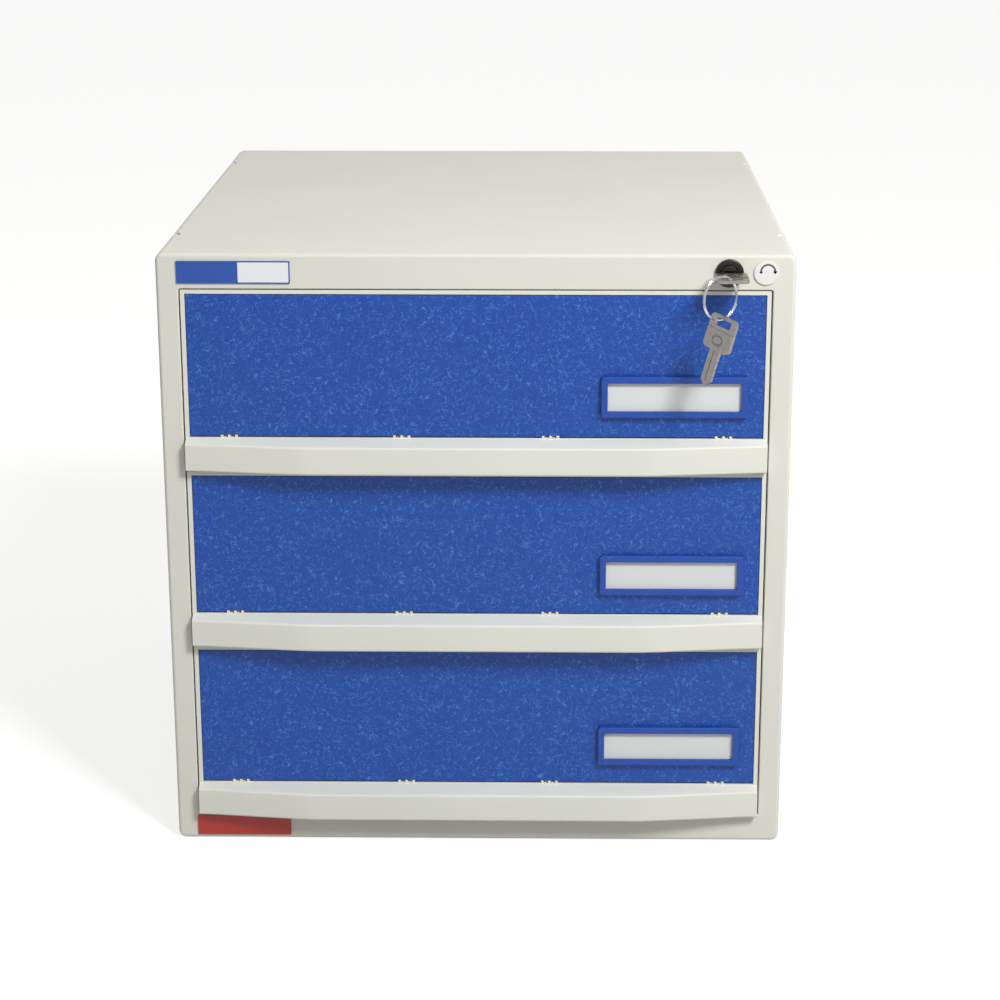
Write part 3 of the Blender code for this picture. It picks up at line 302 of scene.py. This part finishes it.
paper = {"fibre": 1.2 * mm, "cloudsAndPaintedLight": 0.03, "roughness": 0.8}
cardStock = plainPaper("whiteCard", "#d9dcda", paper)
blueLabel = plainPaper("blueGlossLabel", "#1c4ea6", {**paper, "roughness": 0.3})
whiteLabel = plainPaper("whiteGlossLabel", "#e9ebee", {**paper, "roughness": 0.3, "cloudsAndPaintedLight": 0.02})
redLabel = plainPaper("redGlossLabel", "#b0281f", {**paper, "roughness": 0.3})
markInk = plainPaper("darkGreyInk", "#4a4c4e", {**paper, "roughness": 0.5})
print("stage: finishes made")

lockCentre = (158.3 * mm, 386.4 * mm)  # x and z of the lock's middle line


# The case: one moulded shell with its mouth turned in, and link notches in the top's side edges

case = {
    "low": (-200 * mm, -200 * mm, 0), "high": (200 * mm, 196.7 * mm, 398 * mm), "wall": 3 * mm,
    "corner": 5 * mm, "frontEdge": 2.4 * mm, "frameDepth": 12 * mm, "liningWall": 2.1 * mm,
    "mouthHalf": 186 * mm, "mouthLow": 18.5 * mm, "mouthHigh": 375.5 * mm, "mouthCorner": 1.6 * mm,
    "mouthEdge": 0.7 * mm, "notchX": 198.5 * mm, "notchY": (-138 * mm, 140 * mm), "notchRadius": 5.5 * mm,
    "notchDepth": 1.4 * mm, "innerCorner": 2 * mm, "liningCorner": 3 * mm, "lockHole": 6.9 * mm, "backEdge": 0.5 * mm,
}


def bevelEdges(bm, edges, width, segments):
    bmesh.ops.bevel(bm, geom=edges, offset=width, segments=segments, profile=0.5, affect="EDGES", material=-1)


def runsBack(edge):
    return abs((edge.verts[0].co - edge.verts[1].co).normalized().y) > 0.99


def mouthBox(spread, front, back, corner):  # a block that fills the mouth, with rounded upright corners
    bm = bmesh.new()
    half = case["mouthHalf"] + spread
    addBox(bm, (-half, front, case["mouthLow"] - spread), (half, back, case["mouthHigh"] + spread))
    bevelEdges(bm, [e for e in bm.edges if runsBack(e)], corner, 4)
    return bm


def roundedMouth():  # the mouth's block flares towards the front, so it leaves a rounded edge there
    front, rounding = case["low"][1], case["mouthEdge"]
    bm = mouthBox(0, front + rounding, front + case["frameDepth"] + 3 * mm, case["mouthCorner"])
    middle = (case["mouthLow"] + case["mouthHigh"]) / 2
    grown, deep = 0, 0
    for angle in (pi / 6, pi / 3, pi / 2, None):
        bm.normal_update()
        face = next(f for f in bm.faces if f.normal.y < -0.9)
        made = bmesh.ops.extrude_discrete_faces(bm, faces=[face])["faces"][0]
        out = rounding * (1 - cos(angle)) - grown if angle else 0
        ahead = rounding * sin(angle) - deep if angle else 5 * mm
        for vert in made.verts:
            vert.co += Vector((out if vert.co.x > 0 else -out, -ahead, out if vert.co.z > middle else -out))
        grown, deep = grown + out, deep + ahead
    return bm


def buildCaseShell():
    front, wall = case["low"][1], case["wall"]
    bm = bmesh.new()
    addBox(bm, case["low"], case["high"])
    bevelEdges(bm, [e for e in bm.edges if runsBack(e)], case["corner"], 6)
    bm.normal_update()
    bevelEdges(bm, list(next(f for f in bm.faces if f.normal.y < -0.9).edges), case["frontEdge"], 5)
    shell = newPiece("caseShell", bm)
    inner = case["high"][0] - wall
    ceiling, frameEnd = case["high"][2] - wall, front + case["frameDepth"]
    room = bmesh.new()  # the space inside, open to the back
    addBox(room, (-inner, frameEnd, wall), (inner, case["high"][1] + 20 * mm, ceiling))
    bevelEdges(room, [e for e in room.edges if runsBack(e)], case["innerCorner"], 3)
    pocket = bmesh.new()  # the hollow behind the frame, round the mouth's lining
    addBox(pocket, (-inner, front + wall, wall), (inner, frameEnd + 1 * mm, ceiling))
    bevelEdges(pocket, [e for e in pocket.edges if runsBack(e)], case["innerCorner"], 3)
    ringPocket = newPiece("pocket", pocket)
    carve(ringPocket, mouthBox(case["liningWall"], front, front + 40 * mm, case["liningCorner"]))
    pocket = bmesh.new()
    pocket.from_mesh(ringPocket.data)
    bpy.data.objects.remove(ringPocket)
    ahead, behind = front - 5 * mm, front + 4 * mm
    hole = turned(((0, ahead), (case["lockHole"], ahead), (case["lockHole"], behind), (0, behind)), lockCentre)
    notches = []
    for side in (-1, 1):
        for along in case["notchY"]:
            notch = bmesh.new()
            bmesh.ops.create_cone(notch, cap_ends=True, segments=48, radius1=case["notchRadius"],
                                  radius2=case["notchRadius"], depth=10 * mm)
            middle = case["high"][2] - case["notchDepth"] + 5 * mm
            bmesh.ops.translate(notch, vec=(side * case["notchX"], along, middle), verts=notch.verts)
            notches.append(notch)
    carve(shell, room, pocket, roundedMouth(), hole, *notches)
    return dress(shell, caseAbs, "front_frame", "top_cover", "base_panel", "left_side_panel", "right_side_panel",
                 smooth=32)


boss = {"outer": 197.7 * mm, "inward": 4.5 * mm, "front": 185.2 * mm, "back": 196.4 * mm, "halfHeight": 6 * mm,
        "edge": 0.6 * mm}


def buildBosses():  # the blocks inside the sides that the back's screws bite into
    bm = bmesh.new()
    for node in (f"back_screw_{side}_{n}" for side in ("left", "right") for n in (1, 2, 3)):
        low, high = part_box(node)
        x, z = (low.x + high.x) / 2, (low.z + high.z) / 2
        side = 1 if x > 0 else -1
        left, right = sorted((x - side * boss["inward"], side * boss["outer"]))
        addBox(bm, (left, boss["front"], z - boss["halfHeight"]), (right, boss["back"], z + boss["halfHeight"]))
    bevelSharp(bm, boss["edge"])
    return dress(newPiece("screwBosses", bm), caseAbs, body="case")


buildCaseShell()
buildBosses()
softened("back_panel", "backPanel", caseAbs, case["backEdge"])
print("stage: case built")


# Screws in the back, each with a cross recess

screw = {"headRadius": 3.4 * mm, "headHeight": 1.2 * mm, "shankRadius": 1.5 * mm,
         "headCrown": ((0, 0.5 * mm), (0.3 * mm, 0.15 * mm), (1 * mm, 0)),  # steps in from the rim and down
         "recessHalf": 0.45 * mm, "recessReach": 1.9 * mm, "recessDepth": 0.8 * mm}


def buildScrew(node, name):
    low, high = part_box(node)
    x, z, top, tip = (low.x + high.x) / 2, (low.z + high.z) / 2, high.y, low.y
    head, shank, under = screw["headRadius"], screw["shankRadius"], top - screw["headHeight"]
    crown = [(head - inward, top - down) for inward, down in screw["headCrown"]]
    profile = [(0, tip), (shank, tip), (shank, under), (head, under)] + crown + [(0, top)]
    piece = newPiece(name, turned(profile, (x, z), 40))
    half, reach, floor = screw["recessHalf"], screw["recessReach"], top - screw["recessDepth"]
    for a, b in ((half, reach), (reach, half)):
        slotShape = bmesh.new()
        addBox(slotShape, (x - a, floor, z - b), (x + a, top + 1 * mm, z + b))
        carve(piece, slotShape)
    return dress(piece, zincSteel, node)


for side in ("left", "right"):
    for number in (1, 2, 3):
        buildScrew(f"back_screw_{side}_{number}", f"backScrew{side.capitalize()}{number}")


# Runners, bar and cam behind the front

inside = {"runnerEdge": 0.4 * mm, "barEdge": 0.25 * mm, "guideEdge": 0.3 * mm, "camEdge": 0.2 * mm,
          "nutEdge": 0.3 * mm}

for side in ("left", "right"):
    for number in (1, 2, 3):
        softened(f"runner_{number}_{side}", f"runner{number}{side.capitalize()}", runnerPlastic, inside["runnerEdge"])
softened("locking_bar", "lockingBar", zincSteel, inside["barEdge"])
softened("bar_guide_upper", "barGuideUpper", runnerPlastic, inside["guideEdge"])
softened("bar_guide_lower", "barGuideLower", runnerPlastic, inside["guideEdge"])
softened("lock_cam", "lockCam", zincSteel, inside["camEdge"])
softened("cam_screw", "camScrew", zincSteel, inside["camEdge"])
softened("lock_nut", "lockNut", zincSteel, inside["nutEdge"])
print("stage: runners and locking bar built")


# Drawers

drawer = {"frontEdge": 0.4 * mm, "insertEdge": 0.4 * mm, "holderEdge": 0.55 * mm, "cardEdge": 0.12 * mm,
          "trayEdge": 0.7 * mm, "catchEdge": 0.4 * mm, "lowerGap": 0.6 * mm, "tabHalf": 5.5 * mm, "nib": 1.7 * mm,
          "nibHeight": 1.3 * mm, "tabRoom": 0.3 * mm, "tabCover": 0.9 * mm,
          "tabs": tuple(share * 182 * mm for share in (-0.863, -0.26, 0.26, 0.863))}


def buildInsert(number):  # a grained sheet with a notch over each snap tab, and a dark gap along its lower edge
    low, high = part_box(f"drawer_{number}_insert")
    low.z += drawer["lowerGap"]
    bm = bmesh.new()
    addBox(bm, low, high)
    insert = newPiece(f"drawer{number}Insert", bm)
    notches = []
    half, top = drawer["tabHalf"] + drawer["tabRoom"], low.z + drawer["tabCover"]
    for middle in drawer["tabs"]:
        notch = bmesh.new()
        addBox(notch, (middle - half, low.y - 2 * mm, low.z - 2 * mm), (middle + half, high.y + 2 * mm, top))
        notches.append(notch)
    carve(insert, *notches)
    bm = bmesh.new()
    bm.from_mesh(insert.data)
    bmesh.ops.dissolve_limit(bm, angle_limit=radians(1), verts=bm.verts, edges=bm.edges)
    bevelSharp(bm, drawer["insertEdge"], 3)
    bm.to_mesh(insert.data)
    bm.free()
    return dress(insert, insertBlue, f"drawer_{number}_insert")


def buildFront(number):  # the pale front, each snap tab cut down to three small nibs
    bm = packedShape(f"drawer_{number}_front")
    bevelSharp(bm, drawer["frontEdge"], 3)
    front = newPiece(f"drawer{number}Front", bm)
    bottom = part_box(f"drawer_{number}_insert")[0].z
    half, nib, face = drawer["tabHalf"], drawer["nib"], case["low"][1]
    slots = []
    for middle in drawer["tabs"]:
        for left, right in ((-half + nib, -nib / 2), (nib / 2, half - nib)):
            slotShape = bmesh.new()
            addBox(slotShape, (middle + left, face - 1 * mm, bottom - 0.2 * mm),
                   (middle + right, face + 3 * mm, bottom + 3 * mm))
            slots.append(slotShape)
        trim = bmesh.new()
        addBox(trim, (middle - half - 1 * mm, face - 1 * mm, bottom + drawer["nibHeight"]),
               (middle + half + 1 * mm, face + 3 * mm, bottom + 3 * mm))
        carve(front, trim)
    carve(front, *slots)
    return dress(front, frontAbs, f"drawer_{number}_front", smooth=32)


for number in (1, 2, 3):
    buildFront(number)
    buildInsert(number)
    softened(f"drawer_{number}_label_holder", f"drawer{number}LabelHolder", holderBlue, drawer["holderEdge"], 2)
    softened(f"drawer_{number}_label_card", f"drawer{number}LabelCard", cardStock, drawer["cardEdge"])
    softened(f"drawer_{number}_tray", f"drawer{number}Tray", trayAbs, drawer["trayEdge"])
    softened(f"drawer_{number}_catch", f"drawer{number}Catch", zincSteel, drawer["catchEdge"])
print("stage: drawers built")


# Lock

lock = {
    "faceY": -201.9 * mm, "flangeY": -200.3 * mm, "faceRadius": 9 * mm, "barrelRadius": 6.6 * mm, "bore": 5.4 * mm,
    "barrelEnd": -183.3 * mm, "rounding": 0.7 * mm,
    "faceRing": ((0, 0.35 * mm), (0.35 * mm, 0), (1.1 * mm, 0), (1.25 * mm, 0.15 * mm), (1.5 * mm, 0.15 * mm),
                 (1.65 * mm, 0)),  # a fine groove round the bore, as steps out and in from it
    "plugRadius": 5.1 * mm, "plugEdge": 0.4 * mm, "keywayHalf": 4.3 * mm, "keywayBelow": 1.25 * mm,
    "keywayAbove": 1.75 * mm, "keywayDepth": 20.4 * mm, "socketRadius": 1.5 * mm, "socketDepth": 1.7 * mm,
}


def buildLockHousing():
    face, flange, outer, bore = lock["faceY"], lock["flangeY"], lock["faceRadius"], lock["bore"]
    rounding = lock["rounding"]
    rim = [(outer - rounding + rounding * sin(a), face + rounding - rounding * cos(a))
           for a in (0, pi / 8, pi / 4, 3 * pi / 8, pi / 2)]
    groove = [(bore + outward, face + inward) for outward, inward in lock["faceRing"]]
    barrel, end = lock["barrelRadius"], lock["barrelEnd"]
    profile = [(bore, end)] + groove + rim + [(outer, flange), (barrel, flange), (barrel, end), (bore, end)]
    return dress(newPiece("lockHousing", turned(profile, lockCentre, 96)), lockChromePaintedDark, "lock_housing", smooth=30)


def buildLockPlug():
    low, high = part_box("lock_plug")
    x, z = lockCentre
    front, back, radius, edge = low.y, high.y, lock["plugRadius"], lock["plugEdge"]
    profile = [(0, back), (radius, back), (radius, front + edge), (radius - edge, front), (0, front)]
    plug = newPiece("lockPlug", turned(profile, (x, z), 80))
    keyway = bmesh.new()
    addBox(keyway, (x - lock["keywayHalf"], front - 2 * mm, z - lock["keywayBelow"]),
           (x + lock["keywayHalf"], front + lock["keywayDepth"], z + lock["keywayAbove"]))
    bore, bottom = lock["socketRadius"], back - lock["socketDepth"]
    socket = turned(((0, bottom), (bore, bottom), (bore, back + 2 * mm), (0, back + 2 * mm)), (x, z), 32)
    carve(plug, keyway, socket)
    return dress(plug, lockChromePaintedDark, "lock_plug", smooth=30)


buildLockHousing()
buildLockPlug()


# Keys and ring

keyShape = {"ovalAt": (0, 15.6 * mm), "ovalRadius": 2.9 * mm, "ovalStretch": 1.35, "ovalWire": 0.6 * mm,
            "bandAt": 9 * mm, "bandHalf": 0.35 * mm, "bandDepth": 0.65 * mm, "groove": (-0.8 * mm, 0.9 * mm),
            "grooveEnds": (22.6 * mm, 41.5 * mm), "grooveDepth": 0.4 * mm, "bowFace": 1.3 * mm,
            "bladeFace": 0.95 * mm, "edge": 0.4 * mm, "bowEnd": -227 * mm, "spareTilt": radians(16),
            "spareYaw": radians(45), "spareShift": (4 * mm, 3.3 * mm)}
ring = {"radius": 13.4 * mm, "drop": 9.6 * mm, "yaw": radians(38), "wire": (0.68 * mm, 0.4 * mm), "turns": 1.94,
        "steps": 150, "hole": Vector((lockCentre[0], -222.5 * mm, lockCentre[1]))}
ringAcross = Vector((cos(ring["yaw"]), sin(ring["yaw"]), 0))
ringReach = (ring["radius"] ** 2 - ring["drop"] ** 2) ** 0.5
ringMiddle = ring["hole"] - ringAcross * ringReach - Vector((0, 0, ring["drop"]))


def spareKeyPlace():  # the spare hangs from the ring's lowest stretch, tilted and turned a little
    tilt, yaw = keyShape["spareTilt"], keyShape["spareYaw"]
    sideways, upwards = keyShape["spareShift"]
    raised = Vector((sin(tilt), 0, cos(tilt)))
    level = Vector((cos(tilt), 0, -sin(tilt)))
    across = level * cos(yaw) - Vector((0, 1, 0)) * sin(yaw)
    end = ringMiddle - Vector((0, 0, ring["radius"])) + across * sideways + raised * upwards
    place = Matrix((across, -raised, across.cross(-raised))).transposed().to_4x4()
    place.translation = end
    return place


def ovalGroove(side):  # the cutter for the oval line pressed into the bow
    bm = bmesh.new()
    wire = bmesh.ops.create_circle(bm, segments=10, radius=keyShape["ovalWire"])["verts"]
    bmesh.ops.rotate(bm, cent=(0, 0, 0), matrix=Matrix.Rotation(pi / 2, 3, "X"), verts=wire)
    bmesh.ops.translate(bm, vec=(keyShape["ovalRadius"], 0, 0), verts=wire)
    bmesh.ops.spin(bm, geom=bm.verts[:] + bm.edges[:], cent=(0, 0, 0), axis=(0, 0, 1), angle=2 * pi, steps=40,
                   use_merge=True)
    bmesh.ops.remove_doubles(bm, verts=bm.verts, dist=0.004 * mm)
    bmesh.ops.scale(bm, vec=(keyShape["ovalStretch"], 1, 1.3), verts=bm.verts)
    x, y = keyShape["ovalAt"]
    bmesh.ops.translate(bm, vec=(x, y, side * keyShape["bowFace"]), verts=bm.verts)
    return bm


def buildKey(node, name, place):
    bm = packedShape(node)
    bevelSharp(bm, keyShape["edge"], 2, 50)
    key = newPiece(name, bm)
    cutters = []
    for side in (-1, 1):
        near, far = sorted((side * (keyShape["bladeFace"] - keyShape["grooveDepth"]), side * 3 * mm))
        left, right = keyShape["groove"]
        start, stop = keyShape["grooveEnds"]
        groove = bmesh.new()
        addBox(groove, (left, start, near), (right, stop, far))
        near, far = sorted((side * (keyShape["bowFace"] - keyShape["bandDepth"]), side * 3 * mm))
        band = bmesh.new()
        addBox(band, (-20 * mm, keyShape["bandAt"] - keyShape["bandHalf"], near),
               (20 * mm, keyShape["bandAt"] + keyShape["bandHalf"], far))
        cutters += [groove, band, ovalGroove(side)]
    for cutter in cutters:
        bmesh.ops.transform(cutter, matrix=place, verts=cutter.verts)
    carve(key, *cutters)
    return dress(key, nickelBrassPaintedShade, node, smooth=30)


def buildRing():  # a split ring: two turns of flattened wire, one beside the other
    bm = bmesh.new()
    radial, axial = ring["wire"]
    wire = bmesh.ops.create_circle(bm, segments=14, radius=1)["verts"]
    bmesh.ops.scale(bm, vec=(radial, axial, 1), verts=wire)
    bmesh.ops.rotate(bm, cent=(0, 0, 0), matrix=Matrix.Rotation(pi / 2, 3, "X"), verts=wire)
    turns, steps = ring["turns"], ring["steps"]
    climb = 2 * axial * turns
    bmesh.ops.translate(bm, vec=(ring["radius"], 0, -climb / 2), verts=wire)
    bmesh.ops.spin(bm, geom=bm.verts[:] + bm.edges[:], cent=(0, 0, 0), axis=(0, 0, 1), angle=2 * pi * turns,
                   steps=steps, dvec=(0, 0, climb / steps))
    bmesh.ops.holes_fill(bm, edges=[e for e in bm.edges if e.is_boundary])
    bmesh.ops.recalc_face_normals(bm, faces=bm.faces)
    up = Vector((0, 0, 1))
    place = Matrix((ringAcross, up, ringAcross.cross(up))).transposed().to_4x4()
    place.translation = ringMiddle
    bmesh.ops.transform(bm, matrix=place, verts=bm.verts)
    return dress(newPiece("keyRing", bm), chromeWirePaintedReflections, "key_ring", smooth=50)


buildKey("key", "keyInLock", Matrix.Translation((lockCentre[0], keyShape["bowEnd"], lockCentre[1])))
buildKey("spare_key", "spareKey", spareKeyPlace())
buildRing()
print("stage: lock, keys and ring built")


# Disc with a turning mark, and the two blank labels

disc = {"centre": (181.2 * mm, 386.8 * mm), "radius": 7.7 * mm, "front": -201.1 * mm, "back": -200.3 * mm,
        "rim": ((0, 0.3 * mm), (0.1 * mm, 0.1 * mm), (0.35 * mm, 0)), "markCentre": (182.2 * mm, 387.6 * mm),
        "markRadius": 4.4 * mm, "markWidth": 1.1 * mm, "markRise": 0.06 * mm, "headWings": 0.9 * mm,
        "headTop": 0.3 * mm, "headTip": 1.6 * mm, "tailWings": (0.4 * mm, 0.2 * mm), "tailEnds": (0.1 * mm, -1 * mm)}


def buildDisc():
    radius, front = disc["radius"], disc["front"]
    rim = [(radius - inward, front + down) for inward, down in disc["rim"]]
    profile = [(0, disc["back"]), (radius, disc["back"])] + rim + [(0, front)]
    dress(newPiece("turnDisc", turned(profile, disc["centre"], 64)), discPlastic, "turn_disc", smooth=30)
    x, z = disc["markCentre"]
    near, far = disc["markRadius"] - disc["markWidth"] / 2, disc["markRadius"] + disc["markWidth"] / 2
    y = front - disc["markRise"]
    bm = bmesh.new()
    line = [bm.verts.new((x + radius, y, z)) for radius in (near, far)]
    bmesh.ops.spin(bm, geom=line + [bm.edges.new(line)], cent=(x, y, z), axis=(0, 1, 0), angle=-pi, steps=24)
    wings, top, tip = disc["headWings"], z + disc["headTop"], (x + disc["markRadius"], z - disc["headTip"])
    (wide, thin), (upper, lower) = disc["tailWings"], disc["tailEnds"]
    head = ((x + near - wings, top), (x + far + wings, top), tip)
    tail = ((x - far - wide, z + upper), (x - near + wide, z + upper), (x - near + thin, z + lower),
            (x - far - thin, z + lower))
    for patch in (head, tail):  # the arc's arrow head, and the block at its other end
        bm.faces.new([bm.verts.new((across, y, up)) for across, up in patch])
    bmesh.ops.solidify(bm, geom=bm.faces[:], thickness=disc["markRise"])
    bmesh.ops.recalc_face_normals(bm, faces=bm.faces)
    mark = dress(newPiece("turnMark", bm), markInk, body="case")


label = {"corner": 0.5 * mm, "edge": 0.12 * mm, "fieldLeft": 38.5 * mm, "border": 0.8 * mm, "rise": 0.05 * mm}


def buildLabel(node, name, finish):
    low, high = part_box(node)
    bm = bmesh.new()
    addBox(bm, low, high)
    bevelEdges(bm, [e for e in bm.edges if runsBack(e)], label["corner"], 4)
    bevelSharp(bm, label["edge"], 2)
    return dress(newPiece(name, bm), finish, node)


def buildNameField():  # the pale field on the name label, left blank
    low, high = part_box("name_plate")
    border = label["border"]
    bm = bmesh.new()
    addBox(bm, (low.x + label["fieldLeft"], low.y - label["rise"], low.z + border),
           (high.x - border, low.y + 0.1 * mm, high.z - border))
    bevelEdges(bm, [e for e in bm.edges if runsBack(e)], label["corner"] / 2, 3)
    field = dress(newPiece("nameLabelField", bm), whiteLabel, body="case")


buildDisc()
buildLabel("name_plate", "nameLabel", blueLabel)
buildNameField()
buildLabel("lower_plate", "lowerLabel", redLabel)
print("stage: disc and labels built")


# Plain studio: pale floor, white room that is brighter towards the back, and a soft lamp at the upper right

studio = {"lampPlace": (0.9, -1.35, 1.64), "lampSize": 0.5, "lampPower": 37, "roomFront": 0.3, "roomBack": 0.7,
          "floor": "#c6c6c4", "floorRoughness": 0.9, "floorLift": 0.66}


def seenDirectly(tree):  # camera, mirror and glass rays count alike
    path = addNode(tree, "ShaderNodeLightPath")
    either = addNode(tree, "ShaderNodeMath", {"operation": "MAXIMUM"},
                     {0: path.outputs["Is Camera Ray"], 1: path.outputs["Is Glossy Ray"]})
    return addNode(tree, "ShaderNodeMath", {"operation": "MAXIMUM"},
                   {0: either.outputs[0], 1: path.outputs["Is Transmission Ray"]}).outputs[0]


def buildStudio():
    scene = bpy.context.scene
    bm = bmesh.new()
    bmesh.ops.create_grid(bm, x_segments=8, y_segments=8, size=6)
    bmesh.ops.translate(bm, vec=(0, 0, -0.2 * mm), verts=bm.verts)
    floor = newPiece("studioFloor", bm)
    material, tree, shader = newMaterial("palePaperFloor")
    shader.inputs["Base Color"].default_value = toLinear(studio["floor"])
    shader.inputs["Roughness"].default_value = studio["floorRoughness"]
    glow = addNode(tree, "ShaderNodeEmission", {"Color": (1, 1, 1, 1)},
                   {"Strength": addNode(tree, "ShaderNodeMath", {"operation": "MULTIPLY", 1: studio["floorLift"]},
                                        {0: seenDirectly(tree)}).outputs[0]})
    both = addNode(tree, "ShaderNodeAddShader", links={0: shader.outputs[0], 1: glow.outputs[0]})
    tree.links.new(both.outputs[0], tree.nodes["Material Output"].inputs["Surface"])
    floor.data.materials.append(material)
    world = bpy.data.worlds.new("paleRoom")
    scene.world = world
    world.use_nodes = True
    tree = world.node_tree
    background = tree.nodes["Background"]
    background.inputs["Color"].default_value = (1, 1, 1, 1)
    way = addNode(tree, "ShaderNodeTexCoord").outputs["Generated"]
    split = addNode(tree, "ShaderNodeSeparateXYZ", {}, {"Vector": way})
    around = addNode(tree, "ShaderNodeMapRange", {"From Min": -0.1, "To Min": studio["roomFront"],
                                                  "To Max": studio["roomBack"]}, {"Value": split.outputs["Y"]})
    strength = addNode(tree, "ShaderNodeMapRange", {"To Max": 1.0},
                       {"Value": seenDirectly(tree), "To Min": around.outputs["Result"]})
    tree.links.new(strength.outputs["Result"], background.inputs["Strength"])
    data = bpy.data.lights.new("softLamp", "AREA")
    data.energy = studio["lampPower"]
    data.size = studio["lampSize"]
    lamp = bpy.data.objects.new("softLamp", data)
    lamp.visible_camera = False
    lamp.location = studio["lampPlace"]
    lamp.rotation_euler = (Vector((0, 0, 0.2)) - lamp.location).to_track_quat("-Z", "Y").to_euler()
    scene.collection.objects.link(lamp)
    scene.view_settings.view_transform = "Standard"


shot = {"lens": 82.67, "shift": (-0.0208, -0.1), "place": (46.2 * mm, -1600 * mm, 689.1 * mm),
        "tiltDown": radians(15.374), "yaw": radians(0.727)}


def placeCamera():  # tilted down a little, with a small shift
    data = bpy.data.cameras.new("camera")
    data.lens = shot["lens"]
    data.shift_x, data.shift_y = shot["shift"]
    camera = bpy.data.objects.new("camera", data)
    camera.location = shot["place"]
    camera.rotation_euler = (pi / 2 - shot["tiltDown"], 0, shot["yaw"])
    bpy.context.scene.collection.objects.link(camera)
    bpy.context.scene.camera = camera


buildStudio()
placeCamera()
print("stage: studio and camera set")
